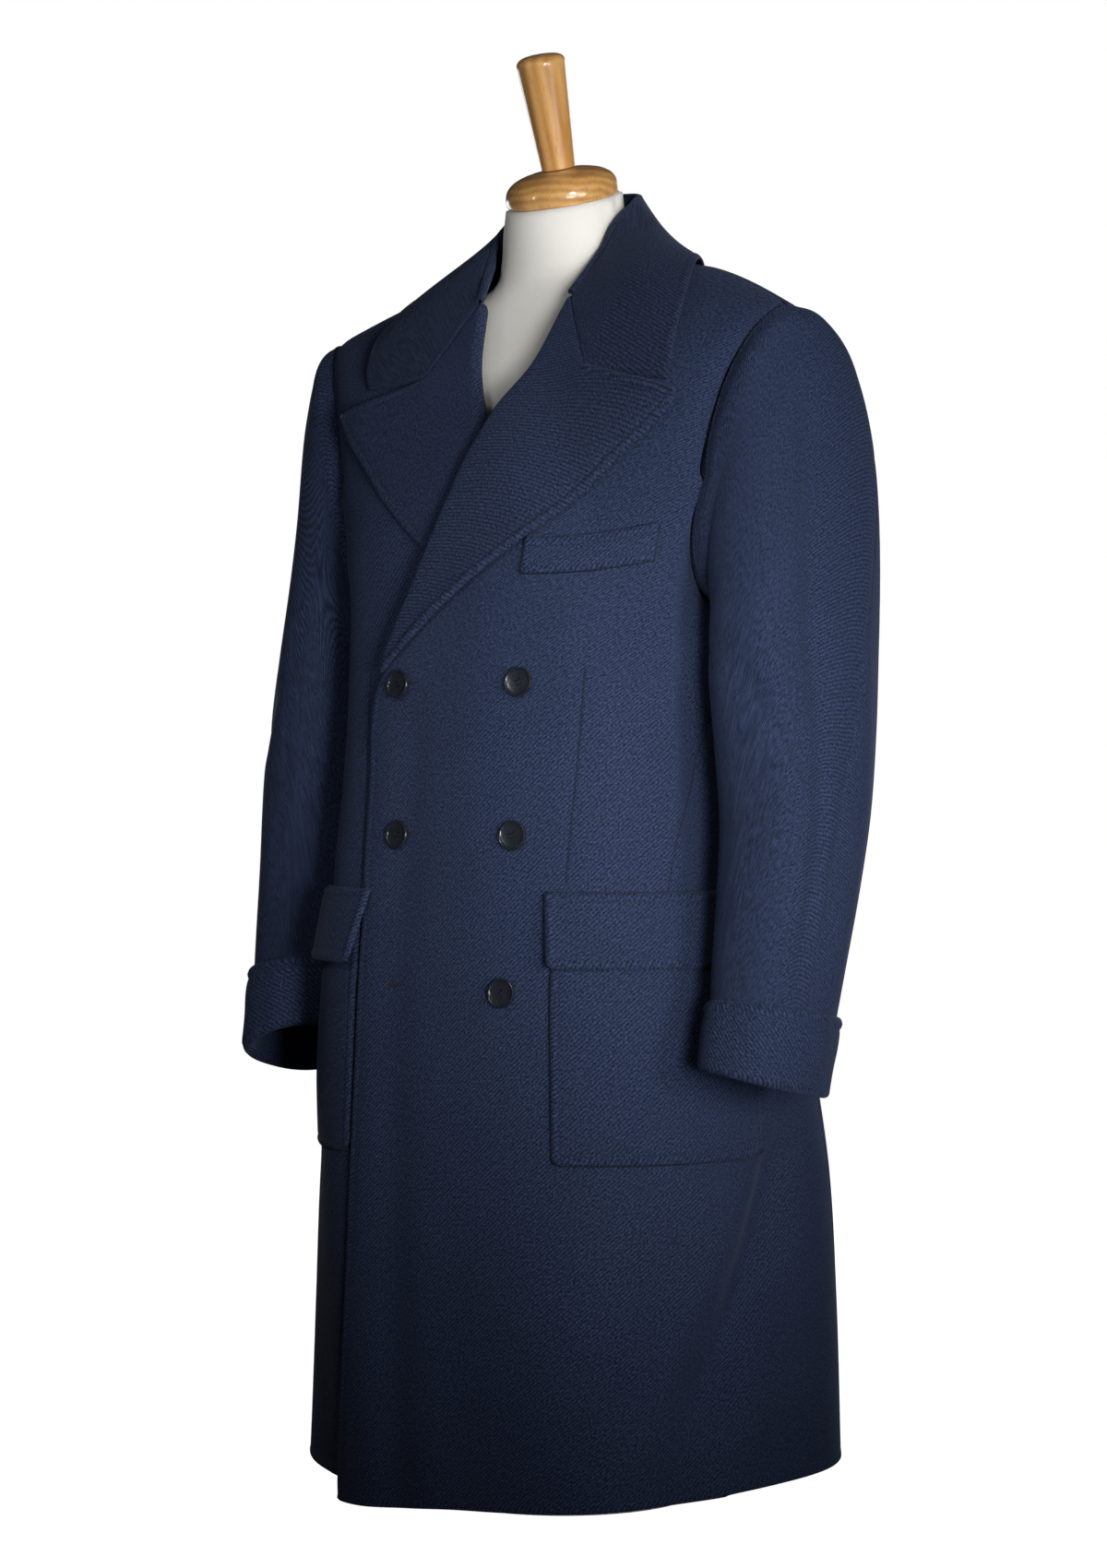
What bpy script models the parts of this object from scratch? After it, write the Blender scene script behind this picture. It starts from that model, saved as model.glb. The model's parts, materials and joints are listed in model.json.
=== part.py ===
"""A double-breasted wool overcoat standing on a limbless tailor's form.

Metres, +Z up. The stand's base rests on z = 0 with its centre at the origin.
+X is the wearer's left, and the coat faces -Y. Heights in the tables below count
from a level that lies DATUM under the floor, and finish() lowers each piece by it.
"""

import math

import bmesh
import bpy
import numpy as np
from mathutils import Matrix, Vector

# ---------------------------------------------------------------- driving sizes
CLOTH = 0.002  # wall of a cloth piece
CUFF_CLOTH = 0.003  # wall of a turned-back cuff
SEAM = 0.0006  # gap left along a seam
LAYER = CLOTH + 0.0014  # step from one laid-on piece to the next
DATUM = 0.009  # the tables' zero level lies this far under the floor
CHEST = 0.880  # height where the upright body turns into the shoulders
RIDGE_Y = -0.008  # the shoulder seam's place, front to back
SPREAD, SPREAD_POWER = 0.252, 1.6  # how far, and how late, the shoulders widen above the chest
SIDE_RADIUS = 0.2  # from the middle to the side seam, to turn a seam's gap into an angle
ARM_Y = 0.070  # half width of the armhole, front to back
ARM_DROP, ARM_ROUND = 0.112, 2.4  # the armhole's bottom: depth below CHEST and squareness
NECK_X = 0.072  # half width of the back neck
NECK_DIP = 0.125  # how far the back neck dips, as a part of the shoulder's rise
BUTTON_X = 0.060
BUTTON_ROWS = (0.708, 0.5815, 0.452)
STITCH_GAP = 0.0012  # air under a button

# Cells of the panels. The armhole's points match those of the sleeve's top ring.
UPPER_ROWS = 5  # over the shoulder's curve
CHEST_COLUMNS, UNDER_COLUMNS, BACK_COLUMNS = 11, 2 * UPPER_ROWS, 7
ARM_COLUMNS = 4 * UPPER_ROWS
TOP_COLUMNS, UNDER_SLEEVE_COLUMNS = 11, 9
LAPEL_COLUMNS, LAPEL_ROWS, ROLL_COLUMNS = 9, 10, 3
COLLAR_COLUMNS, COLLAR_ROWS, STAND_ROWS, FOLD_ROWS = 20, 10, 2, 3
# Rows below the shoulders, as parts of the way from the hem up to CHEST.
LOWER = (0, 0.11, 0.22, 0.33, 0.43, 0.53, 0.62, 0.70, 0.77, 0.83, 0.885, 0.94, 1)
LOWER_ROWS = len(LOWER) - 1

# Outline of the body by height: half width, depth in front and behind, and
# squareness, the exponent of a superellipse.
BODY = np.array([
    (0.028, 0.2200, 0.174, 0.220, 2.6),
    (0.180, 0.2157, 0.176, 0.212, 2.6),
    (0.290, 0.2060, 0.176, 0.203, 2.8),
    (0.380, 0.1970, 0.175, 0.185, 2.8),
    (0.450, 0.1900, 0.173, 0.168, 2.8),
    (0.550, 0.1780, 0.161, 0.142, 2.7),
    (0.630, 0.1720, 0.153, 0.124, 2.6),
    (0.720, 0.1720, 0.144, 0.122, 2.5),
    (0.800, 0.1770, 0.135, 0.126, 2.5),
    (0.840, 0.1910, 0.128, 0.125, 2.5),
    (0.880, 0.2110, 0.122, 0.122, 2.5),
])
HALF_WIDTH, FRONT, BACK, SQUARE = range(1, 5)

# Height of the shoulder seam by distance from the middle.
RIDGE = np.array([
    (0.0, 1.112), (0.080, 1.092), (0.120, 1.070), (0.160, 1.060), (0.238, 1.022), (0.300, 0.985),
])

# Height of the hem by the angle round the body, in degrees from the middle front to
# the side that the piece lies on. Under the left front the right one is shorter.
HEM = np.array([
    (-50, 0.0145), (-34, 0.0150), (-12, 0.0190), (0, 0.0220), (20, 0.0250), (38, 0.0290),
    (60, 0.0345), (80, 0.0400), (125, 0.0400), (180, 0.0340),
])
RIGHT_HEM = 0.0310
# Where on the hem a panel's columns begin and end, as angles: the front edge, the
# armhole's front and the side seam.
EDGE_TURN, ARM_TURN, SIDE_TURN = -0.6, 1.25, 2.1

# The front's inner edge by height: the buttoned edge up to the break at 0.735,
# then the roll line of the lapel. Negative is past the middle.
FRONT_EDGE = np.array([
    (0.028, -0.131),
    (0.120, -0.118),
    (0.220, -0.107),
    (0.330, -0.100),
    (0.450, -0.095),
    (0.600, -0.097),
    (0.680, -0.094),
    (0.735, -0.077),
    (0.800, -0.048),
    (0.860, -0.025),
    (0.930, 0.007),
    (0.980, 0.030),
    (1.040, 0.046),
    (1.100, 0.066),
])
BREAK = 0.735
GORGE_HEIGHT = 1.040
FOLD_CLEAR = 0.0044  # the front's edge stays this far behind the lapel's fold
# Where the right lapel lies under the left front, by height, and how far the left
# front then stands off and how softly it comes back.
UNDER_LAPEL_FOOT, UNDER_LAPEL_TOP = (0.63, 0.73), (0.93, 1.01)
OVER_LAPEL = 0.0115
OVER_PAST, OVER_FADE = 0.012, 0.075
OVER_ENDS = (0.95, 1.02)

# The side seam, behind the arm: distance behind the middle by height.
SIDE_SEAM = np.array([(0.028, 0.120), (0.300, 0.105), (0.450, 0.092), (0.630, 0.072), (0.880, ARM_Y)])

# Outer edge of the lapel, from the break to the tip: part of the way, x, height.
LAPEL_EDGE = np.array([
    (0.00, -0.0700, 0.7360),
    (0.20, -0.0180, 0.7800),
    (0.40, 0.0330, 0.8160),
    (0.60, 0.0840, 0.8540),
    (0.80, 0.1300, 0.8960),
    (0.93, 0.1580, 0.9280),
    (1.00, 0.1660, 0.9500),
])
GORGE_NOTCH = (0.0840, 0.9780)  # where collar and lapel part
COLLAR_CORNER = (0.1580, 0.9660)
LAPEL_START = 0.05  # the lapel begins this part of the way up from the break
LAPEL_OUT = LAYER + 0.0012  # how far its outer edge stands off the front
LAPEL_SETTLES = 0.8  # the part of its width over which it comes down from the roll
ROLL_RADIUS = 0.005
ROLL_SHARE = ROLL_COLUMNS / LAPEL_COLUMNS

# Sections of the collar from the centre back (0) to its front end (1): the foot of
# the stand, the fold at the top, the outer edge of the fall, and how far the fall
# rises in front and over the shoulder between fold and edge.
COLLAR = np.array([
    (0.0, 0.000, 0.0680, 1.0960, 0.000, 0.0680, 1.147, 0.0000, 0.1070, 1.0470, 0.000, -0.003),
    (0.2, 0.040, 0.0570, 1.0960, 0.040, 0.0550, 1.143, 0.0780, 0.0970, 1.0460, 0.000, -0.006),
    (0.4, 0.061, 0.0240, 1.1010, 0.060, 0.0210, 1.132, 0.1190, 0.0400, 1.0690, 0.000, -0.008),
    (0.6, 0.065, -0.0080, 1.1000, 0.062, -0.0110, 1.110, 0.1410, -0.0080, 1.0715, 0.000, -0.003),
    (0.8, 0.060, -0.0220, 1.0770, 0.059, -0.0270, 1.086, 0.1590, -0.0570, 1.0280, 0.006, 0.004),
    (1.0, 0.050, -0.0540, 1.0430, 0.048, -0.0590, 1.047, 0.1610, -0.0860, 0.9670, 0.010, 0.000),
])
FOOT, FOLD, FALL, BOW_FRONT, BOW_UP = 1, 4, 7, 10, 11
BOW_WAY = Vector((0.35, -0.94, 0))
FOLD_RADIUS = 0.0016
STAND_SHARE = STAND_ROWS / COLLAR_ROWS
FALL_SHARE = (STAND_ROWS + FOLD_ROWS) / COLLAR_ROWS
NOTCH_SHARE = 2 / 5  # the notch lies at this part of the fall's front edge
GORGE_CLEAR = 0.0035  # from the collar's front edge to the lapel's top
ENDS_FROM = 0.80  # forward of this the fall turns down to lie on the chest

# Sections of the sleeve below the armhole: inner and outer point in x and
# height, middle and half width front to back, rise of the front over the back
# in degrees, the angle of the hind seam round the arm in degrees, and how far the
# section turns inwards in front and outwards behind.
SLEEVE = np.array([
    (0.1870, 0.7580, 0.2490, 1.0070, 0.0020, 0.0735, 0, -70, 0.012),
    (0.1885, 0.7530, 0.2585, 0.9800, 0.0055, 0.0785, 0, -62, 0.014),
    (0.1890, 0.7480, 0.2655, 0.9380, 0.0085, 0.0830, 0, -52, 0.014),
    (0.1885, 0.7410, 0.2700, 0.8840, 0.0100, 0.0855, 0, -42, 0.013),
    (0.1870, 0.7280, 0.2735, 0.8200, 0.0085, 0.0865, 0, -30, 0.012),
    (0.1865, 0.7030, 0.2785, 0.7500, 0.0035, 0.0850, 0, -16, 0.010),
    (0.1880, 0.6480, 0.2880, 0.6740, -0.002, 0.080, 0, -4, 0.004),
    (0.1930, 0.5900, 0.2940, 0.6080, -0.009, 0.074, 3, 4, 0.000),
    (0.1990, 0.5350, 0.2960, 0.5480, -0.023, 0.067, 7, 8, 0.000),
    (0.2050, 0.4800, 0.2950, 0.4880, -0.038, 0.062, 12, 9, 0.000),
    (0.2110, 0.4300, 0.2920, 0.4360, -0.050, 0.060, 16, 8, 0.000),
    (0.2125, 0.3860, 0.2900, 0.3910, -0.060, 0.060, 18, 6, 0.000),
])
IN_X, IN_Z, OUT_X, OUT_Z, MID_Y, HALF_Y, PITCH, HIND, TURN_IN = range(9)
ARM_SQUARE = 2.4
FORE_SEAM = 7 * math.tau / ARM_COLUMNS  # angles of the sleeve's seams at the armhole
HIND_START = -4 * math.tau / ARM_COLUMNS
SEAM_TURN = 0.004  # half a seam's gap round the sleeve, as an angle
SWAY_FROM = 6  # section from which the two forearms begin to differ
LEFT_SWAY = Vector((0, -0.016, -0.006))
RIGHT_SWAY = Vector((0, 0.018, -0.002))
CUFF_TOP = 10.78  # where the cuff's top edge lies, in sections
CUFF_AIR = 0.0022  # air between sleeve and cuff
CUFF_DROP = 0.003  # the cuff's fold below the sleeve's end

POCKET_TOP, POCKET_FOOT = 0.526, 0.313
POCKET_EDGE = np.array([(0.30, 0.1050), (0.40, 0.1020), (0.54, 0.0975)])
POCKET_WIDTH = 0.196
FLAP_TOP, FLAP_FOOT = 0.534, 0.4725
LEFT_FLAP_EDGE = np.array([(0.46, 0.1000), (0.50, 0.0955), (0.54, 0.0905)])
RIGHT_FLAP_EDGE = np.array([(0.46, 0.1100), (0.50, 0.1050), (0.54, 0.1005)])
FLAP_WIDTH = 0.204
LEFT_LEAN, RIGHT_LEAN = 0.0015, 0.010  # how far a flap's lower edge stands away in front
WALK = 0.02  # step, as an angle, when a length is measured round the body
WELT = ((0.0560, 0.7985), (0.1510, 0.8110), (0.1560, 0.8410), (0.0575, 0.8270))
WELT_SAG, WELT_AIR = 0.003, 0.001

# The right shoulder settles lower beside the collar: how far, where and how wide.
DROP, DROP_X, DROP_WIDE = 0.007, 0.120, 0.055

# The form: height, half width, depth in front and behind, and how far the
# section tips forward in degrees.
FORM = (
    (0.355, 0.135, 0.115, 0.115, 0),
    (0.385, 0.158, 0.138, 0.140, 0),
    (0.500, 0.156, 0.136, 0.122, 0),
    (0.620, 0.148, 0.126, 0.104, 0),
    (0.750, 0.150, 0.116, 0.106, 0),
    (0.840, 0.160, 0.108, 0.110, 0),
    (0.900, 0.170, 0.094, 0.108, 0),
    (0.950, 0.174, 0.078, 0.102, 0),
    (0.990, 0.170, 0.064, 0.092, 0),
    (1.020, 0.145, 0.050, 0.080, 0),
    (1.043, 0.100, 0.042, 0.070, 0),
    (1.062, 0.067, 0.040, 0.060, 2),
    (1.082, 0.058, 0.045, 0.055, 6),
    (1.107, 0.0540, 0.0500, 0.0535, 11),
    (1.132, 0.0505, 0.0500, 0.0505, 17),
)
LEAN = math.radians(17)
CAP_FOOT = Vector((0, 0.0005, 1.1325))
# Profiles turned about the leaning neck: radius and height above CAP_FOOT.
CAP_PROFILE = (
    (0.0000, 0.000), (0.0460, 0.000), (0.0490, 0.0025), (0.0500, 0.0065), (0.0495, 0.0115),
    (0.0465, 0.0175), (0.0400, 0.0228), (0.0300, 0.0264), (0.0170, 0.0284), (0.0000, 0.0288),
)
HANDLE_PROFILE = (
    (0.0000, 0.0291), (0.0150, 0.0291), (0.0152, 0.031), (0.0212, 0.118),
    (0.0214, 0.121), (0.0190, 0.1252), (0.0120, 0.1277), (0.0000, 0.1284),
)
POLE_RADIUS = 0.0175
BASE_RADIUS, BASE_THICK, BASE_BEVEL = 0.115, 0.012, 0.003
FORM_SQUARE, NECK_HEIGHT = 2.5, 1.05  # above NECK_HEIGHT the form's sections are ellipses
FORM_SEGMENTS = 24
# Profile of a button, turned about its middle: radius and height above its back.
BUTTON_PROFILE = (
    (0.0000, 0.0000), (0.0085, 0.0000), (0.0125, 0.0014), (0.0125, 0.0030),
    (0.0112, 0.0040), (0.0092, 0.0030), (0.0000, 0.0027),
)


# ---------------------------------------------------------------- small helpers
def between(table, column, at):
    """A column of a table, read smoothly between its rows."""
    x, y = table[:, 0], table[:, column]
    slope = np.gradient(y, x)
    at = min(max(at, x[0]), x[-1])
    row = min(max(int(np.searchsorted(x, at)) - 1, 0), len(x) - 2)
    step = x[row + 1] - x[row]
    t = (at - x[row]) / step
    ends = y[row] * (1 + 2 * t) * (1 - t) ** 2 + y[row + 1] * t * t * (3 - 2 * t)
    return ends + step * t * (1 - t) * (slope[row] * (1 - t) - slope[row + 1] * t)


def ease(value, low, high):
    """0 below low, 1 above high, and a smooth step from one to the other."""
    t = min(max((value - low) / (high - low), 0.0), 1.0)
    return t * t * (3 - 2 * t)


def mix(a, b, t):
    return a + (b - a) * t


def rounded(angle, square):
    """Cosine and sine bent to a superellipse."""
    c, s = math.cos(angle), math.sin(angle)
    return (math.copysign(abs(c) ** (2 / square), c), math.copysign(abs(s) ** (2 / square), s))


def material(name, colour, roughness, metallic=0.0):
    made = bpy.data.materials.new(name)
    made.use_nodes = True
    shader = made.node_tree.nodes["Principled BSDF"]
    shader.inputs["Base Color"].default_value = (*colour, 1.0)
    shader.inputs["Roughness"].default_value = roughness
    shader.inputs["Metallic"].default_value = metallic
    made.diffuse_color = (*colour, 1.0)
    return made


def finish(name, mesh, look, sharp=40):
    """Turns a bmesh into a named object."""
    data = bpy.data.meshes.new(name)
    bmesh.ops.translate(mesh, vec=(0, 0, -DATUM), verts=mesh.verts)
    mesh.to_mesh(data)
    mesh.free()
    data.shade_smooth()
    data.set_sharp_from_angle(angle=math.radians(sharp))
    data.materials.append(look)
    made = bpy.data.objects.new(name, data)
    bpy.context.scene.collection.objects.link(made)
    return made


def settled(point):
    """A point of the coat after the right shoulder has settled."""
    near = max(1 - ((point.x + DROP_X) / DROP_WIDE) ** 2, 0.0) ** 2
    return point - Vector((0, 0, DROP * near * ease(point.z, 1.0, 1.07)))


def cloth(name, columns, rows, place, look, flip=False, wall=CLOTH, keep=None, tube=False):
    """A grid of cells laid by place(u, v), with u and v from 0 to 1, and given a wall outwards."""
    mesh = bmesh.new()
    bmesh.ops.create_grid(mesh, x_segments=columns, y_segments=rows, size=0.5)
    if keep:
        lost = [f for f in mesh.faces if not keep(f.calc_center_median() + Vector((0.5, 0.5, 0)))]
        bmesh.ops.delete(mesh, geom=lost, context="FACES")
    for vert in mesh.verts:
        vert.co = settled(place(vert.co.x + 0.5, vert.co.y + 0.5))
    if tube:
        bmesh.ops.remove_doubles(mesh, verts=mesh.verts, dist=1e-6)
    if flip:
        bmesh.ops.reverse_faces(mesh, faces=mesh.faces)
    made = finish(name, mesh, look)
    shell = made.modifiers.new("wall", "SOLIDIFY")
    shell.thickness = wall
    shell.offset = 1.0
    shell.use_even_offset = True
    return made


def turned(name, profile, look, segments, place):
    """A solid turned about its own Z axis and put in place by a matrix."""
    mesh = bmesh.new()
    points = [mesh.verts.new((radius, 0, height)) for radius, height in profile]
    edges = [mesh.edges.new(pair) for pair in zip(points, points[1:])]
    bmesh.ops.spin(
        mesh, geom=points + edges, cent=(0, 0, 0), axis=(0, 0, 1), angle=math.tau,
        steps=segments, use_merge=True,
    )
    bmesh.ops.remove_doubles(mesh, verts=mesh.verts, dist=1e-5)
    bmesh.ops.recalc_face_normals(mesh, faces=mesh.faces)
    bmesh.ops.transform(mesh, matrix=place, verts=mesh.verts)
    return finish(name, mesh, look, sharp=30)


# ---------------------------------------------------------------- the body's form
def ridge(x):
    return between(RIDGE, 1, abs(x))


def widening(lift):
    """How much wider the body is at this lift than at CHEST."""
    return 1 + SPREAD * lift**SPREAD_POWER


def outline(angle, height):
    """The body's outline at a height: angle 0 is the middle front, 90 degrees the wearer's left."""
    s, c = math.sin(angle), math.cos(angle)
    square = between(BODY, SQUARE, height)
    wide = abs(s) / between(BODY, HALF_WIDTH, height)
    deep = abs(c) / between(BODY, FRONT if c > 0 else BACK, height)
    radius = (wide**square + deep**square) ** (-1 / square)
    return Vector((radius * s, -radius * c, height))


def body(angle, height, lift=0.0):
    """A point of the body: above CHEST, lift runs from 0 to 1 at the shoulder seam."""
    base = outline(angle, height)
    if lift <= 0:
        return base
    across = min(abs(base.x) / ARM_X, 1.0)
    front = base.y < 0
    power = mix(1.20, 2.0, across**3) if front else mix(2.6, 2.0, across**2)
    reach = max(1 - lift**power, 0.0) ** (1 / power)
    x = base.x * widening(lift)
    seam_y = RIDGE_Y + (-SEAM if front else SEAM) / 2
    return Vector((x, mix(seam_y, base.y, reach), mix(CHEST, ridge(x), lift)))


def skin(angle, height, lift=0.0, out=0.0):
    """A point of the body moved outwards."""
    point = body(angle, height, lift)
    if not out:
        return point
    turn = body(angle + 0.01, height, lift) - body(angle - 0.01, height, lift)
    if height < CHEST:
        rise = body(angle, height + 0.002, lift) - body(angle, height - 0.002, lift)
    else:
        low, high = max(lift - 0.01, 0.0), min(max(lift, 0.0) + 0.01, 0.999)
        rise = body(angle, height, high) - body(angle, height, min(low, high - 0.01))
    return point + turn.cross(rise).normalized() * out


def angle_of_x(x, height):
    """The angle at which the front outline has this x."""
    square, half = between(BODY, SQUARE, height), between(BODY, HALF_WIDTH, height)
    deep = between(BODY, FRONT, height)
    return math.atan2(x, deep * (1 - min(abs(x) / half, 1) ** square) ** (1 / square))


def angle_of_y(y, height):
    """The angle on the wearer's left at which the outline has this y."""
    square, half = between(BODY, SQUARE, height), between(BODY, HALF_WIDTH, height)
    deep = between(BODY, FRONT if y < 0 else BACK, height)
    return math.atan2(half * (1 - min(abs(y) / deep, 1) ** square) ** (1 / square), -y)


def place_of(x, height):
    """Angle, height and lift of a point of the front that is given by x and height."""
    if height <= CHEST:
        return angle_of_x(x, height), height, 0.0
    lift = min((height - CHEST) / (ridge(x) - CHEST), 0.999)
    return angle_of_x(x / widening(lift), CHEST), CHEST, lift


ARM_X = outline(angle_of_y(-ARM_Y, CHEST), CHEST).x


def over(x, height):
    """How far the left front stands off where the right front, and its lapel, lie under it."""
    lapel_under = ease(height, *UNDER_LAPEL_FOOT) * (1 - ease(height, *UNDER_LAPEL_TOP))
    stand_off = mix(LAYER, OVER_LAPEL, lapel_under)
    under_to = -between(FRONT_EDGE, 1, height) + OVER_PAST
    return stand_off * (1 - ease(x, under_to, under_to + OVER_FADE)) * (1 - ease(height, *OVER_ENDS))


def on_front(side, x, height, out):
    """A point on the wearer's left (1) or right (-1) front; x is positive to that side."""
    off = over(x, height) if side > 0 else 0.0
    point = skin(*place_of(x, height), off + out)
    return Vector((side * point.x, point.y, point.z))


# ---------------------------------------------------------------- fronts and backs
def hem(side, angle):
    height = between(HEM, 1, math.degrees(angle))
    return height if side > 0 else max(height, RIGHT_HEM)


def way_up(row):
    """Part of the way from the hem to CHEST at a row of the grid."""
    return LOWER[min(round(row), LOWER_ROWS)]


def armhole_foot(forward):
    """Height of the armhole's round bottom, forward from -1 behind to 1 in front."""
    return CHEST - ARM_DROP * (1 - abs(forward) ** ARM_ROUND) ** (1 / ARM_ROUND)


def roll_at(lift):
    """x of the roll line where the body has this lift."""
    height = CHEST + 0.2 * lift
    for _ in range(8):
        x = between(FRONT_EDGE, 1, height)
        height = mix(CHEST, ridge(x), lift)
    return x


def seam_angle(height):
    return angle_of_y(between(SIDE_SEAM, 1, height), height)


def front_place(side, u, v):
    column = u * (CHEST_COLUMNS + UNDER_COLUMNS)
    row = v * (LOWER_ROWS + UPPER_ROWS)
    if column <= CHEST_COLUMNS + 1e-6:
        across = column / CHEST_COLUMNS
        lift = math.sin(math.pi / 2 * max(row - LOWER_ROWS, 0) / UPPER_ROWS)
        height = mix(hem(side, mix(EDGE_TURN, ARM_TURN, across)), CHEST, way_up(row))
        if lift > 0:
            x = roll_at(lift)
            inner = angle_of_x((x + FOLD_CLEAR) / widening(lift), CHEST)
        else:
            clear = FOLD_CLEAR * ease(height, BREAK - 0.02, BREAK)
            inner = angle_of_x(between(FRONT_EDGE, 1, height) + clear, height)
        angle = mix(inner, angle_of_y(-ARM_Y, height), across)
    else:
        k = (column - CHEST_COLUMNS) / UNDER_COLUMNS
        forward = math.cos(math.pi * k)
        top = armhole_foot(forward)
        start, end = angle_of_y(-ARM_Y, top), seam_angle(top)
        share = (angle_of_y(-ARM_Y * forward, top) - start) / (end - start)
        height, lift = mix(hem(side, mix(ARM_TURN, SIDE_TURN, k)), top, way_up(row)), 0.0
        angle = mix(angle_of_y(-ARM_Y, height), seam_angle(height), share) - k * SEAM / 2 / SIDE_RADIUS
    bare = skin(angle, height, lift)
    off = over(bare.x, bare.z) if side > 0 else 0.0
    point = skin(angle, height, lift, off)
    return Vector((side * point.x, point.y, point.z))


def make_front(side, name, look):
    """A front with the cloth under the arm, whose top edge is the armhole's bottom."""
    split = CHEST_COLUMNS / (CHEST_COLUMNS + UNDER_COLUMNS)
    top = LOWER_ROWS / (LOWER_ROWS + UPPER_ROWS)
    cloth(
        name, CHEST_COLUMNS + UNDER_COLUMNS, LOWER_ROWS + UPPER_ROWS,
        lambda u, v: front_place(side, u, v), look, flip=side < 0,
        keep=lambda cell: cell.x < split or cell.y < top,
    )


def back_place(side, u, v):
    row = v * (LOWER_ROWS + UPPER_ROWS)
    height = mix(hem(1, mix(math.pi, SIDE_TURN, u)), CHEST, way_up(row))
    middle = math.pi - SEAM / 2 / between(BODY, BACK, height)
    angle = mix(middle, seam_angle(height) + SEAM / 2 / SIDE_RADIUS, u)
    rise = math.sin(math.pi / 2 * max(row - LOWER_ROWS, 0) / UPPER_ROWS)
    inside = min(abs(outline(angle, CHEST).x) * (1 + SPREAD) / NECK_X, 1.0)
    point = skin(angle, height, rise * (1 - NECK_DIP * (1 - inside**2)))
    return Vector((side * point.x, point.y, point.z))


def make_back(side, name, look):
    cloth(
        name, BACK_COLUMNS, LOWER_ROWS + UPPER_ROWS,
        lambda u, v: back_place(side, u, v), look, flip=side > 0,
    )


# ---------------------------------------------------------------- lapels and collar
def along_gorge(p, notch_at, corner):
    """The line from the roll down the gorge to the notch, then out to a corner."""
    start = Vector((between(FRONT_EDGE, 1, GORGE_HEIGHT), GORGE_HEIGHT))
    notch = Vector(GORGE_NOTCH)
    if p < notch_at:
        return start.lerp(notch, p / notch_at)
    return notch.lerp(Vector(corner), (p - notch_at) / (1 - notch_at))


def lapel_place(side, u, v):
    """u runs from the roll line to the outer edge, v from the break to the gorge."""
    q = mix(LAPEL_START, 1.0, v)
    height = mix(BREAK, GORGE_HEIGHT, q)
    inner = Vector((between(FRONT_EDGE, 1, height), height))
    outer = Vector((between(LAPEL_EDGE, 1, q), between(LAPEL_EDGE, 2, q)))
    tip = (LAPEL_EDGE[-1, 1], LAPEL_EDGE[-1, 2])
    length = (outer - inner).length
    radius = min(ROLL_RADIUS, 0.35 * length)
    if u <= ROLL_SHARE + 1e-6:
        turn = math.pi / 2 * u / ROLL_SHARE
        p, out = radius * (1 - math.cos(turn)) / length, radius * math.sin(turn)
    else:
        t = (u - ROLL_SHARE) / (1 - ROLL_SHARE)
        p = mix(radius / length, 1.0, t)
        out = mix(radius, LAPEL_OUT, ease(t, 0.0, LAPEL_SETTLES))
    start = Vector((between(FRONT_EDGE, 1, GORGE_HEIGHT), GORGE_HEIGHT))
    notch_at = mix(radius / length, 1.0, 0.5)
    bend = along_gorge(p, notch_at, tip) - start.lerp(Vector(tip), p)
    flat = inner.lerp(outer, p) + bend * q**4
    return on_front(side, flat.x, flat.y, out)


def make_lapel(side, name, look):
    cloth(
        name, LAPEL_COLUMNS, LAPEL_ROWS, lambda u, v: lapel_place(side, u, v), look, flip=side < 0,
    )


def collar_point(first, back_to_front):
    return Vector([between(COLLAR, first + i, back_to_front) for i in range(3)])


def collar_place(u, v):
    """u runs from the left end round the neck to the right end, v from the foot over the fold."""
    side = 1 if u < 0.5 else -1
    forward = abs(1 - 2 * u)
    foot, fold, edge = (collar_point(first, forward) for first in (FOOT, FOLD, FALL))
    away = Vector((edge.x - fold.x, edge.y - fold.y, 0)).normalized()
    centre = fold - Vector((0, 0, FOLD_RADIUS + CLOTH))
    if v <= STAND_SHARE + 1e-6:
        point = foot.lerp(centre - away * FOLD_RADIUS, v / STAND_SHARE)
    elif v <= FALL_SHARE + 1e-6:
        turn = math.pi * (v - STAND_SHARE) / (FALL_SHARE - STAND_SHARE)
        point = centre - away * FOLD_RADIUS * math.cos(turn)
        point.z += FOLD_RADIUS * math.sin(turn)
    else:
        t = (v - FALL_SHARE) / (1 - FALL_SHARE)
        start = centre + away * FOLD_RADIUS
        point = start.lerp(edge, t)
        bow = 4 * t * (1 - t)
        point += BOW_WAY * bow * between(COLLAR, BOW_FRONT, forward)
        point.z += bow * between(COLLAR, BOW_UP, forward)
        ending = ease(forward, ENDS_FROM, 1.0) ** 2
        flat = along_gorge(t, NOTCH_SHARE, COLLAR_CORNER)
        out = mix(ROLL_RADIUS + SEAM, LAPEL_OUT, ease(t, 0, LAPEL_SETTLES))
        on_chest = on_front(1, flat.x, flat.y + GORGE_CLEAR, out)
        point = point.lerp(on_chest, ending)
    return Vector((side * point.x, point.y, point.z))


# ---------------------------------------------------------------- sleeves and cuffs
def armhole(turn):
    """A point just outside the armhole: turn 0 is the shoulder, 90 degrees the front."""
    c, s = math.cos(turn), math.sin(turn)
    if c > 0:
        place = (angle_of_y(-ARM_Y if s > 0 else ARM_Y, CHEST), CHEST, c if c < 0.999 else 1.0)
    else:
        foot = armhole_foot(s)
        place = (angle_of_y(-ARM_Y * s, foot), foot, 0.0)
    point = skin(*place)
    normal = (skin(*place, 0.001) - point) * 1000
    return point + normal * LAYER * max(normal.x, 0.0) + Vector((2 * SEAM, 0, 0))


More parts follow.
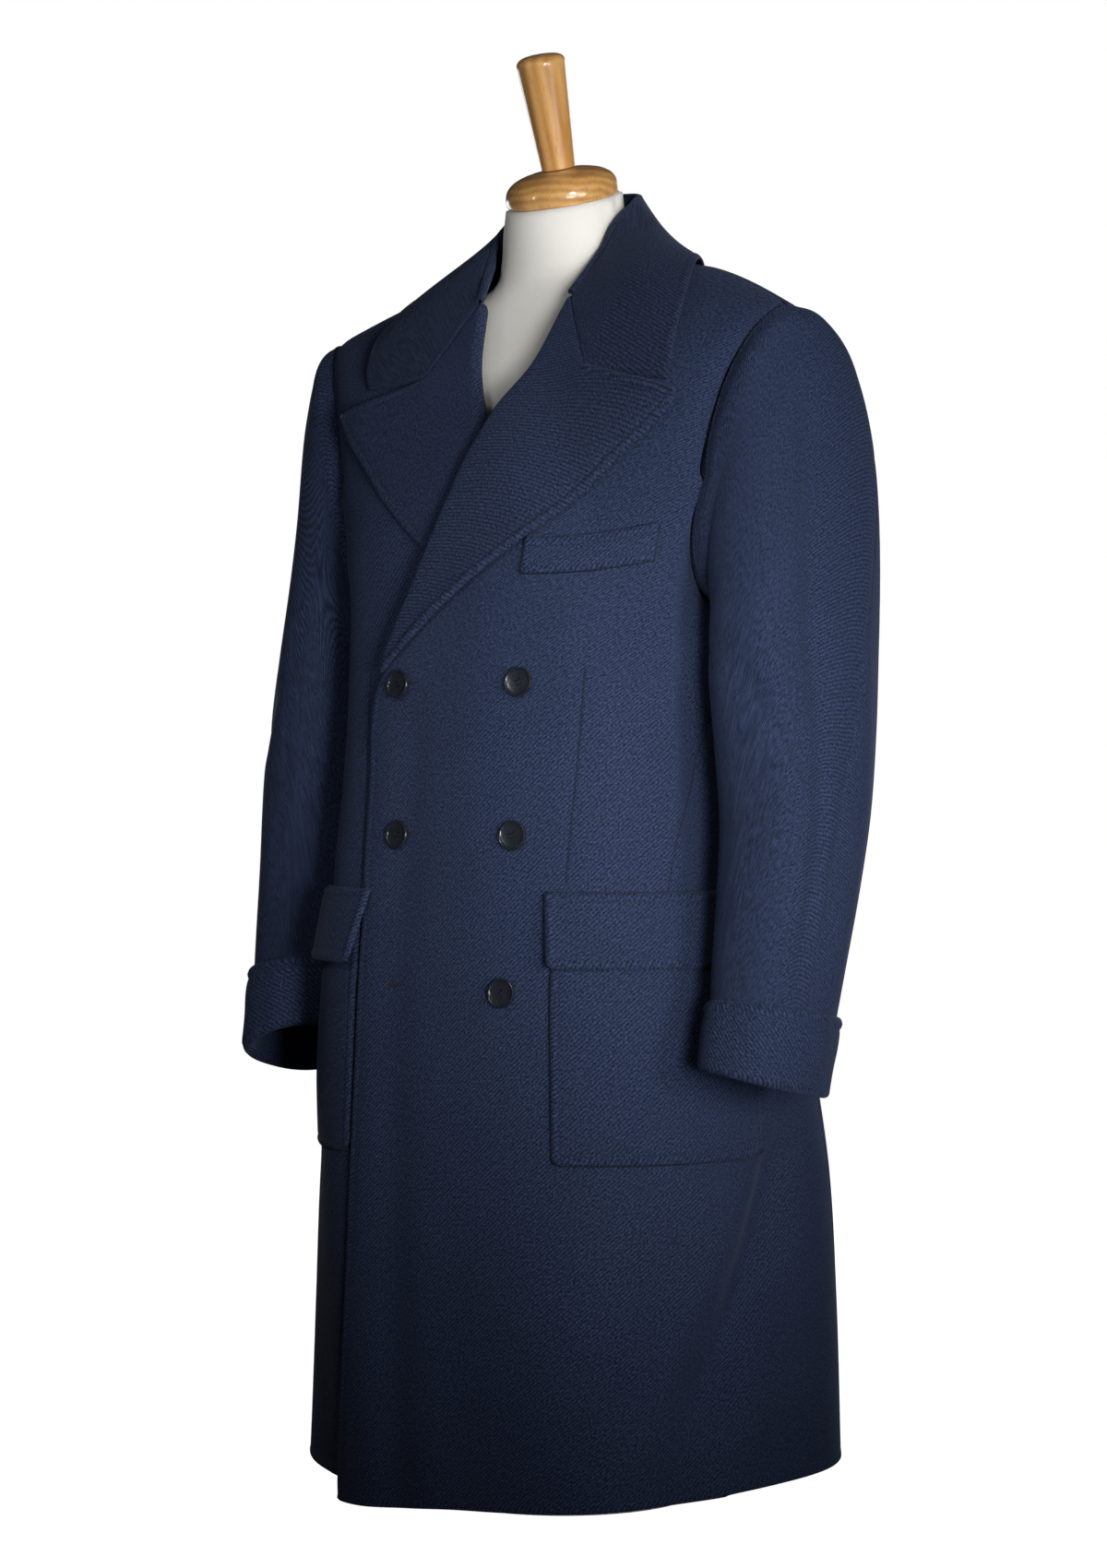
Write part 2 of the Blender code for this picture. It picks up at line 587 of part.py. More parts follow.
def sleeve_section(side, row, turn):
    """A point round the sleeve's section: turn 0 is outwards, 90 degrees the front."""
    if row == 0:
        point = armhole(turn)
        return Vector((side * point.x, point.y, point.z))
    size = SLEEVE[row - 1]
    c, s = rounded(turn, ARM_SQUARE)
    x = mix(size[IN_X], size[OUT_X], (1 + c) / 2) - s * size[TURN_IN]
    z = mix(size[IN_Z], size[OUT_Z], (1 + c) / 2) + s * size[HALF_Y] * math.tan(math.radians(size[PITCH]))
    point = Vector((x, size[MID_Y] - s * size[HALF_Y], z))
    sway = LEFT_SWAY if side > 0 else RIGHT_SWAY
    point += sway * ease(row, SWAY_FROM, len(SLEEVE))
    return Vector((side * point.x, point.y, point.z))


def sleeve_point(side, along, turn):
    """A point of the sleeve, along in sections from the armhole, read smoothly between them."""
    last = len(SLEEVE)
    row = min(int(along), last - 1)
    rows = [min(max(row + step, 0), last) for step in (-1, 0, 1, 2)]
    before, start, end, after = (sleeve_section(side, r, turn) for r in rows)
    t = along - row
    leave, arrive = (end - before) / 2, (after - start) / 2
    ends = start * (1 + 2 * t) * (1 - t) ** 2 + end * t * t * (3 - 2 * t)
    return ends + (leave * (1 - t) - arrive * t) * t * (1 - t)


def hind_seam(along):
    """Angle of the seam at the back of the arm."""
    rows = np.column_stack((range(len(SLEEVE) + 1), [HIND_START, *np.radians(SLEEVE[:, HIND])]))
    return between(rows, 1, along)


def make_sleeve(side, name, look):
    """The two pieces of a sleeve, sewn along the forearm and the hind arm."""
    rows = len(SLEEVE)

    def top(u, v):
        turn = mix(hind_seam(v * rows) + SEAM_TURN, FORE_SEAM - SEAM_TURN, u)
        return sleeve_point(side, v * rows, turn)

    def under(u, v):
        turn = mix(FORE_SEAM + SEAM_TURN, hind_seam(v * rows) + math.tau - SEAM_TURN, u)
        return sleeve_point(side, v * rows, turn)

    cloth(name + "_top", TOP_COLUMNS, rows, top, look, flip=side < 0)
    cloth(name + "_under", UNDER_SLEEVE_COLUMNS, rows, under, look, flip=side < 0)


def make_cuff(side, name, look):
    """The sleeve's end turned back on itself as a deep band."""
    rows = len(SLEEVE)

    def place(u, v):
        turn = math.tau * u
        along = mix(CUFF_TOP, rows, v)
        here = sleeve_point(side, along, turn)
        middle = (sleeve_point(side, along, 0) + sleeve_point(side, along, math.pi)) / 2
        down = (sleeve_point(side, rows, turn) - sleeve_point(side, rows - 1, turn)).normalized()
        away = (here - middle).normalized()
        return here + away * (CLOTH + CUFF_AIR) + down * CUFF_DROP * v

    cloth(name, ARM_COLUMNS, 3, place, look, flip=side < 0, wall=CUFF_CLOTH, tube=True)


# ---------------------------------------------------------------- pockets, flaps and welt
def angle_after(start, height, length):
    """The angle reached by going this far round the body."""
    angle, here, gone = start, outline(start, height), 0.0
    while gone < length:
        angle += WALK
        there = outline(angle, height)
        gone += (there - here).length
        here = there
    return angle


def pocket_place(side, edge, width, top, foot, out, u, v):
    height = mix(foot, top, v)
    start = angle_of_x(between(edge, 1, height), height)
    angle = mix(start, angle_after(start, height, width), u)
    off = over(outline(angle, height).x, height) if side > 0 else 0.0
    point = skin(angle, height, 0.0, off + out(u, v))
    return Vector((side * point.x, point.y, point.z))


def make_pocket(side, name, look):
    def place(u, v):
        return pocket_place(
            side, POCKET_EDGE, POCKET_WIDTH, POCKET_TOP, POCKET_FOOT, lambda p, q: LAYER, u, v
        )

    cloth(name, 8, 5, place, look, flip=side < 0)


def make_flap(side, name, look):
    """The right flap stands away at its front, the left one lies down."""
    edge = LEFT_FLAP_EDGE if side > 0 else RIGHT_FLAP_EDGE
    lean = LEFT_LEAN if side > 0 else RIGHT_LEAN

    def out(u, v):
        return 2 * LAYER + lean * (1 - v) ** 0.8 * (1 - 0.5 * u)

    def place(u, v):
        return pocket_place(side, edge, FLAP_WIDTH, FLAP_TOP, FLAP_FOOT, out, u, v)

    cloth(name, 8, 3, place, look, flip=side < 0)


def make_welt(name, look):
    corners = [Vector(corner) for corner in WELT]

    def place(u, v):
        foot, top = corners[0].lerp(corners[1], u), corners[3].lerp(corners[2], u)
        flat = foot.lerp(top, v)
        sag = WELT_SAG * 4 * u * (1 - u)
        return on_front(1, flat.x, flat.y - sag, LAYER + WELT_AIR)

    cloth(name, 6, 2, place, look)


# ---------------------------------------------------------------- buttons
def make_button(name, x, height, look):
    out = CLOTH + STITCH_GAP
    seat = on_front(1, x, height, out)
    normal = (on_front(1, x, height, out + 0.001) - seat).normalized()
    place = Matrix.Translation(seat) @ normal.to_track_quat("Z", "Y").to_matrix().to_4x4()
    turned(name, BUTTON_PROFILE, look, 16, place)


# ---------------------------------------------------------------- the form and its stand
def make_torso(name, look):
    """Rings bridged from the hips to the top of the neck."""
    mesh = bmesh.new()
    loops = []
    for index, (height, half, front, back, tip) in enumerate(FORM):
        ends = index in (0, len(FORM) - 1)
        ring = bmesh.ops.create_circle(mesh, cap_ends=ends, radius=1.0, segments=FORM_SEGMENTS)["verts"]
        square = FORM_SQUARE if height < NECK_HEIGHT else 2.0
        for vert in ring:
            angle = math.atan2(vert.co.x, -vert.co.y)
            c, s = rounded(angle, square)
            y = -c * (front if c > 0 else back)
            vert.co = (half * s, y, height + y * math.tan(math.radians(tip)))
        loops.append([e for e in mesh.edges if e.verts[0] in ring and e.verts[1] in ring])
    for low, high in zip(loops, loops[1:]):
        bmesh.ops.bridge_loops(mesh, edges=low + high)
    bmesh.ops.recalc_face_normals(mesh, faces=mesh.faces)
    finish(name, mesh, look)


def make_stand(wood, metal, paint):
    lean = Matrix.Translation(CAP_FOOT) @ Matrix.Rotation(LEAN, 4, "X")
    turned("form_neck_cap", CAP_PROFILE, wood, 28, lean)
    turned("form_handle", HANDLE_PROFILE, wood, 20, lean)
    pole_top = FORM[0][0] - SEAM / 2
    pole_foot = DATUM + BASE_THICK + SEAM / 2
    pole = ((0, pole_foot), (POLE_RADIUS, pole_foot), (POLE_RADIUS, pole_top), (0, pole_top))
    turned("form_pole", pole, metal, 20, Matrix())
    top = DATUM + BASE_THICK
    base = (
        (0, DATUM), (BASE_RADIUS, DATUM), (BASE_RADIUS, top - BASE_BEVEL),
        (BASE_RADIUS - BASE_BEVEL, top), (0, top),
    )
    turned("form_base", base, paint, 36, Matrix())


# ---------------------------------------------------------------- making
def main():
    for old in list(bpy.data.objects):
        bpy.data.objects.remove(old)
    wool = material("navy_wool", (0.022, 0.030, 0.070), 0.85)
    horn = material("dark_horn", (0.010, 0.012, 0.020), 0.25)
    jersey = material("cream_jersey", (0.80, 0.78, 0.68), 0.80)
    beech = material("varnished_beech", (0.62, 0.34, 0.11), 0.30)
    steel = material("brushed_steel", (0.45, 0.45, 0.46), 0.35, 1.0)
    paint = material("white_paint", (0.80, 0.80, 0.78), 0.45)

    for side, name in ((1, "left"), (-1, "right")):
        make_front(side, "front_" + name, wool)
        make_back(side, "back_" + name, wool)
        make_lapel(side, "lapel_" + name, wool)
        make_sleeve(side, "sleeve_" + name, wool)
        make_cuff(side, "cuff_" + name, wool)
        make_pocket(side, "pocket_" + name, wool)
        make_flap(side, "flap_" + name, wool)
    cloth("collar", COLLAR_COLUMNS, COLLAR_ROWS, collar_place, wool, flip=True)
    make_welt("chest_welt", wool)

    top, middle, low = BUTTON_ROWS
    for index, (x, height) in enumerate((
        (-BUTTON_X, top), (BUTTON_X, top), (-BUTTON_X, middle), (BUTTON_X, middle), (BUTTON_X, low),
    )):
        make_button("button_%d" % (index + 1), x, height, horn)

    make_torso("form_torso", jersey)
    make_stand(beech, steel, paint)


main()
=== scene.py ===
# %% [markdown]
# # A wool overcoat on a tailor's form
# This lesson dresses a plain frame model of a double-breasted overcoat. Each cloth
# piece is a grid of cells laid over a surface that is worked out from the coat's own
# sizes, then given a wall with a Solidify modifier. Lengths are in metres, +Z is up,
# the coat faces -Y and +X is the wearer's left. Heights in the tables count from a
# level DATUM under the floor, as on a tailor's chart.

# %% Load the frame
import json
import math

import bmesh
import bpy
import numpy as np
from mathutils import Matrix, Vector

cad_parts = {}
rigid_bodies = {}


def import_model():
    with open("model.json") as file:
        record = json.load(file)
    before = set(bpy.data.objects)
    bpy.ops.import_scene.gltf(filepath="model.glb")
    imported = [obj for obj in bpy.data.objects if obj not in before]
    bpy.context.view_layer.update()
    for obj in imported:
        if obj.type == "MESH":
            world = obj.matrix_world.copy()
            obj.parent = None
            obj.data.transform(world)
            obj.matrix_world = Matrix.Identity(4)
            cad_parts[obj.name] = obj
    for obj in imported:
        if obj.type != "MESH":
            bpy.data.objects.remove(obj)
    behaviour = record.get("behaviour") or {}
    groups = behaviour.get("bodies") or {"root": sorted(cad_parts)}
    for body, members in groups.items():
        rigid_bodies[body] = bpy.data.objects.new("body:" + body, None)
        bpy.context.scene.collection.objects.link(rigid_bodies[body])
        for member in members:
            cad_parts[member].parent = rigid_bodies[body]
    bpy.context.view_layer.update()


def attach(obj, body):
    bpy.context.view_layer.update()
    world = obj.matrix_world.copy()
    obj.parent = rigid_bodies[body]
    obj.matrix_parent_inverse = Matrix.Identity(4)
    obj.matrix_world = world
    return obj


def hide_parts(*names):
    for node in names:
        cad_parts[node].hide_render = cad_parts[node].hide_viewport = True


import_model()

# %% [markdown]
# ## The camera
# The picture is a studio catalogue view: a long lens at the height of the pocket
# flaps, a third of a quarter turn to the coat's left. A long lens keeps the coat from
# widening towards the hem. The camera comes first, because every later look uses it.

# %% Camera
PICTURE = (1200, 1700)
CAMERA_TURN = math.radians(34.5)
CAMERA_AWAY = 3.32
CAMERA_HEIGHT = 0.616
FOCAL_PIXELS = 4130
SENSOR = 36.0
MIDDLE_PIXEL = 611

camera_data = bpy.data.cameras.new("camera")
camera_data.sensor_width = SENSOR
camera_data.lens = FOCAL_PIXELS / PICTURE[1] * SENSOR
camera_data.shift_x = (PICTURE[0] / 2 - MIDDLE_PIXEL) / PICTURE[1]
camera = bpy.data.objects.new("camera", camera_data)
camera.location = (
    CAMERA_AWAY * math.sin(CAMERA_TURN), -CAMERA_AWAY * math.cos(CAMERA_TURN), CAMERA_HEIGHT,
)
camera.rotation_euler = (math.pi / 2, 0, CAMERA_TURN)
bpy.context.scene.collection.objects.link(camera)
bpy.context.scene.camera = camera
print("camera: lens", round(camera_data.lens, 1), "mm, shift", round(camera_data.shift_x, 4))

# %% [markdown]
# ## The floor and the light
# A photographer's softboxes are area lights here. The key stands low to the coat's
# left, with a grid in front (Blender calls it spread) that narrows its beam, so the
# light fades towards the hem and the shoulders. A weak one high in front draws the
# shadows under the lapels, and two from the left side round off the sleeve. A small
# spot lights the head of the form, a strip on the other side adds the second long
# highlight on the varnish, and a weak one rims the far sleeve. A broad one behind
# keeps the back readable when the coat is looked at from there. The world is a dim
# sky, darkest overhead, that fills the shadows. Only the camera sees it as white. The
# floor is hidden from the coat's bounce light, so its white doesn't wash out the hem.

# %% Floor, world and lights
def to_data(mesh, name):
    """Mesh data made from a bmesh, which is then freed."""
    data = bpy.data.meshes.new(name)
    mesh.to_mesh(data)
    mesh.free()
    return data


def softbox(name, turn, away, height, aim, size, power, spread):
    """An area light, turned in degrees from the coat's front to its left, aimed at a height."""
    data = bpy.data.lights.new(name, "AREA")
    data.shape = "RECTANGLE"
    data.size, data.size_y = size
    data.energy = power
    data.spread = math.radians(spread)
    made = bpy.data.objects.new(name, data)
    turn = math.radians(turn)
    made.location = (away * math.sin(turn), -away * math.cos(turn), height)
    made.rotation_euler = (made.location - Vector((0, 0, aim))).to_track_quat("Z", "Y").to_euler()
    bpy.context.scene.collection.objects.link(made)


WHITE = (1.0, 1.0, 1.0, 1.0)
SKY_LEVEL, SKY_ABOVE, SKY_FADE = 0.035, 0.02, 0.8
world = bpy.data.worlds.new("studio")
world.use_nodes = True
studio = world.node_tree
sky = studio.nodes["Background"]
way, split, fade, rays, backdrop, choose = (studio.nodes.new("ShaderNode" + kind) for kind in (
    "TexCoord", "SeparateXYZ", "MapRange", "LightPath", "Background", "MixShader",
))
sky.inputs["Color"].default_value = backdrop.inputs["Color"].default_value = WHITE
backdrop.inputs["Strength"].default_value = 1.0
fade.inputs["From Max"].default_value = SKY_FADE
fade.inputs["To Min"].default_value = SKY_LEVEL
fade.inputs["To Max"].default_value = SKY_ABOVE
for start, end in (
    (way.outputs["Generated"], split.inputs[0]),
    (split.outputs["Z"], fade.inputs["Value"]),
    (fade.outputs[0], sky.inputs["Strength"]),
    (rays.outputs["Is Camera Ray"], choose.inputs[0]),
    (sky.outputs[0], choose.inputs[1]),
    (backdrop.outputs[0], choose.inputs[2]),
    (choose.outputs[0], studio.nodes["World Output"].inputs[0]),
):
    studio.links.new(start, end)
bpy.context.scene.world = world
bpy.context.scene.view_settings.view_transform = "Standard"

FLOOR_SIZE = 30.0
floor_mesh = bmesh.new()
bmesh.ops.create_grid(floor_mesh, x_segments=1, y_segments=1, size=FLOOR_SIZE)
floor_data = to_data(floor_mesh, "floor")
floor = bpy.data.objects.new("floor", floor_data)
bpy.context.scene.collection.objects.link(floor)
floor_paint = bpy.data.materials.new("floor_paint")
floor_paint.use_nodes = True
floor_shader = floor_paint.node_tree.nodes["Principled BSDF"]
floor_shader.inputs["Base Color"].default_value = (0.9, 0.9, 0.9, 1.0)
floor_shader.inputs["Roughness"].default_value = 0.9
floor_shader.inputs["Emission Color"].default_value = WHITE
floor_shader.inputs["Emission Strength"].default_value = 0.99
floor_data.materials.append(floor_paint)
floor.visible_diffuse = False
floor.visible_glossy = False

# Name, turn, distance, height, height aimed at, size, watts, spread in degrees.
SOFTBOXES = (
    ("key_softbox", 50, 2.1, 0.55, 0.59, (0.5, 0.5), 1.58, 40),
    ("front_softbox", 12, 2.1, 1.45, 0.62, (0.30, 0.30), 0.22, 22),
    ("side_softbox", 74, 2.1, 0.76, 0.72, (0.4, 0.6), 0.85, 40),
    ("high_softbox", 60, 2.1, 1.00, 0.95, (0.5, 0.4), 0.20, 30),
    ("head_spot", 52, 2.1, 1.36, 1.27, (0.45, 0.40), 0.42, 16),
    ("strip_softbox", -26, 2.4, 1.30, 1.26, (0.12, 0.6), 0.07, 16),
    ("far_softbox", -118, 2.3, 0.9, 0.75, (0.8, 1.0), 0.8, 60),
    ("back_softbox", -165, 2.6, 1.2, 0.7, (1.4, 1.6), 14.0, 180),
)
for row in SOFTBOXES:
    softbox(*row)
print("lights:", len(SOFTBOXES))

# %% [markdown]
# ## Small helpers
# A short table with a row for each height is read smoothly between its rows with a
# cubic curve. Everything below works on whole arrays at once, since a fine grid has
# tens of thousands of points.

# %% Reading tables and blending
def between(table, column, at):
    """A column of a table, read smoothly between its rows."""
    x, y = table[:, 0], table[:, column]
    slope = np.gradient(y, x)
    at = np.clip(at, x[0], x[-1])
    row = np.clip(np.searchsorted(x, at) - 1, 0, len(x) - 2)
    step = x[row + 1] - x[row]
    t = (at - x[row]) / step
    ends = y[row] * (1 + 2 * t) * (1 - t) ** 2 + y[row + 1] * t * t * (3 - 2 * t)
    return ends + step * t * (1 - t) * (slope[row] * (1 - t) - slope[row + 1] * t)


def ease(value, low, high):
    """0 below low, 1 above high, and a smooth step from one to the other."""
    t = np.clip((value - low) / (high - low), 0.0, 1.0)
    return t * t * (3 - 2 * t)


def mix(a, b, t):
    return a + (b - a) * t


def hump(value, middle, wide):
    """A smooth bump, 1 at its middle."""
    return np.exp(-(((value - middle) / wide) ** 2))


def unit(vectors):
    return vectors / np.maximum(np.linalg.norm(vectors, axis=-1, keepdims=True), 1e-12)


def spot(x, y, z):
    """Arrays of x, y and z as one array of points."""
    return np.stack(np.broadcast_arrays(x, y, z), -1).astype(float)


# %% [markdown]
# ## The body's form
# The coat hangs as one smooth tube. Its outline at each height is a superellipse,
# between an ellipse and a rectangle, with its own half width, depth in front and
# behind, and squareness. Above the chest the front and back curve over to meet along
# the shoulder seam. The sizes are those of the frame model's cloth.

# %% Sizes of the body
CLOTH = 0.002  # wall of a cloth piece
CUFF_CLOTH = 0.003
SEAM = 0.0006
LAYER = CLOTH + 0.0014  # step from one laid-on piece to the next
DATUM = 0.009
CHEST = 0.880  # height where the upright body turns into the shoulders
RIDGE_Y = -0.008
SPREAD, SPREAD_POWER = 0.252, 1.6
SIDE_RADIUS = 0.2
ARM_Y = 0.070
ARM_DROP, ARM_ROUND = 0.112, 2.4
NECK_X = 0.072
NECK_DIP = 0.125

# Height, half width, depth in front, depth behind, squareness.
BODY = np.array([
    (0.028, 0.2200, 0.174, 0.220, 2.6),
    (0.180, 0.2157, 0.176, 0.212, 2.6),
    (0.290, 0.2060, 0.176, 0.203, 2.8),
    (0.380, 0.1970, 0.175, 0.185, 2.8),
    (0.450, 0.1900, 0.173, 0.168, 2.8),
    (0.550, 0.1780, 0.161, 0.142, 2.7),
    (0.630, 0.1720, 0.153, 0.124, 2.6),
    (0.720, 0.1720, 0.144, 0.122, 2.5),
    (0.800, 0.1770, 0.135, 0.126, 2.5),
    (0.840, 0.1910, 0.128, 0.125, 2.5),
    (0.880, 0.2110, 0.122, 0.122, 2.5),
])
HALF_WIDTH, FRONT, BACK, SQUARE = range(1, 5)
RIDGE = np.array([
    (0.0, 1.112), (0.080, 1.092), (0.120, 1.070), (0.160, 1.060), (0.238, 1.022), (0.300, 0.985),
])
# Height of the hem by angle in degrees, from the middle front to the side.
HEM = np.array([
    (-50, 0.0112), (-34, 0.0118), (-12, 0.0165), (0, 0.0205), (20, 0.0245), (38, 0.0290),
    (60, 0.0345), (80, 0.0400), (125, 0.0400), (180, 0.0340),
])
RIGHT_HEM = 0.0310
EDGE_TURN, ARM_TURN, SIDE_TURN = -0.6, 1.25, 2.1
# Distance of the side seam behind the middle, by height.
SIDE_SEAM = np.array([(0.028, 0.120), (0.300, 0.105), (0.450, 0.092), (0.630, 0.072), (0.880, ARM_Y)])
# The front's inner edge by height, and above BREAK the roll line of the lapel.
FRONT_EDGE = np.array([
    (0.028, -0.131),
    (0.120, -0.118),
    (0.220, -0.107),
    (0.330, -0.100),
    (0.450, -0.095),
    (0.600, -0.097),
    (0.680, -0.094),
    (0.735, -0.077),
    (0.800, -0.048),
    (0.860, -0.025),
    (0.930, 0.007),
    (0.980, 0.030),
    (1.040, 0.046),
    (1.100, 0.066),
])
BREAK = 0.717
GORGE_HEIGHT = 1.040
FOLD_CLEAR = 0.0044
UNDER_LAPEL_FOOT, UNDER_LAPEL_TOP = (0.63, 0.73), (0.93, 1.01)
OVER_LAPEL = 0.0115
OVER_PAST, OVER_FADE = 0.012, 0.075
OVER_ENDS = (0.95, 1.02)
DROP, DROP_X, DROP_WIDE, DROP_HEIGHTS = 0.0115, 0.155, 0.125, (0.93, 1.04)
# Powers of the curve from the chest to the shoulder seam: in the middle and at the arm.
FRONT_POWER, BACK_POWER, ARM_POWER = 1.20, 2.6, 2.0

# %% [markdown]
# ## Folds of the hanging cloth
# Heavy wool hangs in a few broad, soft folds, not in sharp creases. Each row of the
# table is one fold of the skirt: where it starts and ends as an angle round the body
# and a height, how wide it is at each end and how deep. A fold that ends at the hem
# opens there into a flare.

# %% Table of folds
# Start angle, start height, end angle, end height, start width, end width (degrees),
# start depth, end depth (metres, negative is a trough).
FOLDS = np.array([
    (97, 0.325, 70, 0.150, 7.0, 8.5, -0.0120, -0.0160),
    (70, 0.150, 58, 0.015, 8.5, 11.0, -0.0160, -0.0090),
    (84, 0.310, 52, 0.150, 8.0, 9.0, 0.0040, 0.0040),
    (-17, 0.400, -17, 0.015, 6.5, 8.0, -0.0030, -0.0060),
    (-19, 0.690, -17, 0.420, 8.0, 7.0, -0.0035, -0.0030),
    (12, 0.820, 10, 0.480, 15.0, 15.0, 0.0040, 0.0030),
    (112, 0.330, 94, 0.015, 9.0, 17.0, 0.0020, 0.0060),
    (30, 0.280, 38, 0.015, 10.0, 16.0, 0.0000, 0.0050),
    (2, 0.400, 6, 0.015, 14.0, 18.0, 0.0000, -0.0035),
    (62, 0.760, 58, 0.560, 9.0, 14.0, -0.0020, -0.0025),
    (-56, 0.860, -54, 0.520, 18.0, 18.0, 0.0130, 0.0110),
    (-55, 0.340, -46, 0.015, 10.0, 14.0, -0.0040, -0.0085),
    (124, 0.440, 124, 0.015, 22.0, 24.0, 0.0060, 0.0100),
    (-86, 0.330, -74, 0.015, 8.0, 14.0, 0.0015, 0.0060),
    (-108, 0.360, -100, 0.015, 7.0, 12.0, -0.0020, -0.0050),
    (132, 0.420, 128, 0.015, 8.0, 14.0, -0.0010, -0.0070),
    (152, 0.360, 154, 0.015, 8.0, 12.0, 0.0000, 0.0060),
    (178, 0.520, 175, 0.015, 9.0, 12.0, -0.0010, -0.0055),
    (-156, 0.400, -152, 0.015, 8.0, 13.0, 0.0000, 0.0055),
    (-134, 0.340, -130, 0.015, 7.0, 12.0, -0.0010, -0.0050),
    (160, 0.700, 168, 0.560, 10.0, 12.0, -0.0018, -0.0022),
    (-164, 0.720, -158, 0.580, 10.0, 13.0, -0.0015, -0.0022),
])
FOLD_STARTS, FOLD_ENDS = (-0.12, 0.15), (0.85, 1.3)  # shares of its length that fade it
NEAR_HEM = 0.1  # a fold that ends below this runs on to the hem


def folds(angle, height):
    """How far the hanging cloth stands out, or in, at an angle and height."""
    degrees = np.degrees(angle)
    out = np.zeros(np.broadcast(degrees, height).shape)
    for turn_0, top, turn_1, foot, wide_0, wide_1, deep_0, deep_1 in FOLDS:
        down = np.clip((top - height) / (top - foot), -1.0, 1.5)
        share = np.clip(down, 0.0, 1.0)
        middle = mix(turn_0, turn_1, share)
        wide = mix(wide_0, wide_1, share)
        deep = mix(deep_0, deep_1, share) * ease(down, *FOLD_STARTS)
        if foot > NEAR_HEM:
            deep = deep * (1 - ease(down, *FOLD_ENDS))
        apart = (degrees - middle + 180) % 360 - 180
        out = out + deep * np.exp(-((apart / wide) ** 2))
    return out


print("folds:", len(FOLDS))

# %% Surface of the body
def outline(angle, height):
    """The body's outline at a height: angle 0 is the middle front, 90 degrees the left."""
    s, c = np.sin(angle), np.cos(angle)
    square = between(BODY, SQUARE, height)
    depth = np.where(c > 0, between(BODY, FRONT, height), between(BODY, BACK, height))
    wide = np.abs(s) / between(BODY, HALF_WIDTH, height)
    radius = (wide**square + (np.abs(c) / depth) ** square) ** (-1 / square)
    return spot(radius * s, -radius * c, height)


def angle_of_x(x, height):
    """The angle at which the front outline has this x."""
    square, half = between(BODY, SQUARE, height), between(BODY, HALF_WIDTH, height)
    flat = np.minimum(np.abs(x) / half, 1)
    return np.arctan2(x, between(BODY, FRONT, height) * (1 - flat**square) ** (1 / square))


def angle_of_y(y, height):
    """The angle on the wearer's left at which the outline has this y."""
    square, half = between(BODY, SQUARE, height), between(BODY, HALF_WIDTH, height)
    depth = np.where(np.asarray(y) < 0, between(BODY, FRONT, height), between(BODY, BACK, height))
    flat = np.minimum(np.abs(y) / depth, 1)
    return np.arctan2(half * (1 - flat**square) ** (1 / square), -y)


ARM_X = float(outline(angle_of_y(-ARM_Y, CHEST), CHEST)[0])


def ridge(x):
    return between(RIDGE, 1, np.abs(x))


def widening(lift):
    return 1 + SPREAD * lift**SPREAD_POWER


def body(angle, height, lift):
    """A point of the body: above CHEST, lift runs from 0 to 1 at the shoulder seam."""
    base = outline(angle, height)
    x, y = base[..., 0], base[..., 1]
    lift = np.broadcast_to(lift, x.shape)
    across = np.minimum(np.abs(x) / ARM_X, 1.0)
    front = y < 0
    power = np.where(front, mix(FRONT_POWER, ARM_POWER, across**3), mix(BACK_POWER, ARM_POWER, across**2))
    reach = np.maximum(1 - lift**power, 0.0) ** (1 / power)
    wide = x * widening(lift)
    seam_y = RIDGE_Y + np.where(front, -SEAM, SEAM) / 2
    over_top = spot(wide, mix(seam_y, y, reach), mix(CHEST, ridge(wide), lift))
    return np.where((lift > 0)[..., None], over_top, base)


def skin(angle, height, lift, out):
    """A point of the body moved outwards."""
    angle, height, lift, out = np.broadcast_arrays(angle, height, lift, out)
    turn = body(angle + 0.01, height, lift) - body(angle - 0.01, height, lift)
    low, high = np.maximum(lift - 0.01, 0.0), np.clip(lift + 0.01, 0.0, 0.999)
    upper = body(angle, height, high) - body(angle, height, np.minimum(low, high - 0.01))
    lower = body(angle, height + 0.002, lift) - body(angle, height - 0.002, lift)
    rise = np.where((height < CHEST)[..., None], lower, upper)
    return body(angle, height, lift) + unit(np.cross(turn, rise)) * out[..., None]


def place_of(x, height):
    """Angle, height and lift of a point of the front that is given by x and height."""
    high = height > CHEST
    lift = np.where(high, np.minimum((height - CHEST) / (ridge(x) - CHEST), 0.999), 0.0)
    level = np.where(high, CHEST, height)
    return angle_of_x(x / widening(np.maximum(lift, 0.0)), level), level, lift


def over(x, height):
    """How far the left front stands off where the right front, and its lapel, lie under it."""
    lapel_under = ease(height, *UNDER_LAPEL_FOOT) * (1 - ease(height, *UNDER_LAPEL_TOP))
    stand_off = mix(LAYER, OVER_LAPEL, lapel_under)
    under_to = -between(FRONT_EDGE, 1, height) + OVER_PAST
    return stand_off * (1 - ease(x, under_to, under_to + OVER_FADE)) * (1 - ease(height, *OVER_ENDS))


def on_front(side, x, height, out):
    """A point on the wearer's left (1) or right (-1) front; x is positive to that side."""
    angle, level, lift = place_of(x, height)
    off = over(x, height) if side > 0 else 0.0
    points = skin(angle, level, lift, off + out + folds(side * angle, height))
    return points * (side, 1, 1)


def settled(points):
    """The right shoulder hangs a little lower beside the collar."""
    near = np.maximum(1 - ((points[..., 0] + DROP_X) / DROP_WIDE) ** 2, 0.0) ** 2
    lower = points.copy()
    lower[..., 2] -= DROP * near * ease(points[..., 2], *DROP_HEIGHTS)
    return lower


print("body: half width at the armhole", round(ARM_X, 4))
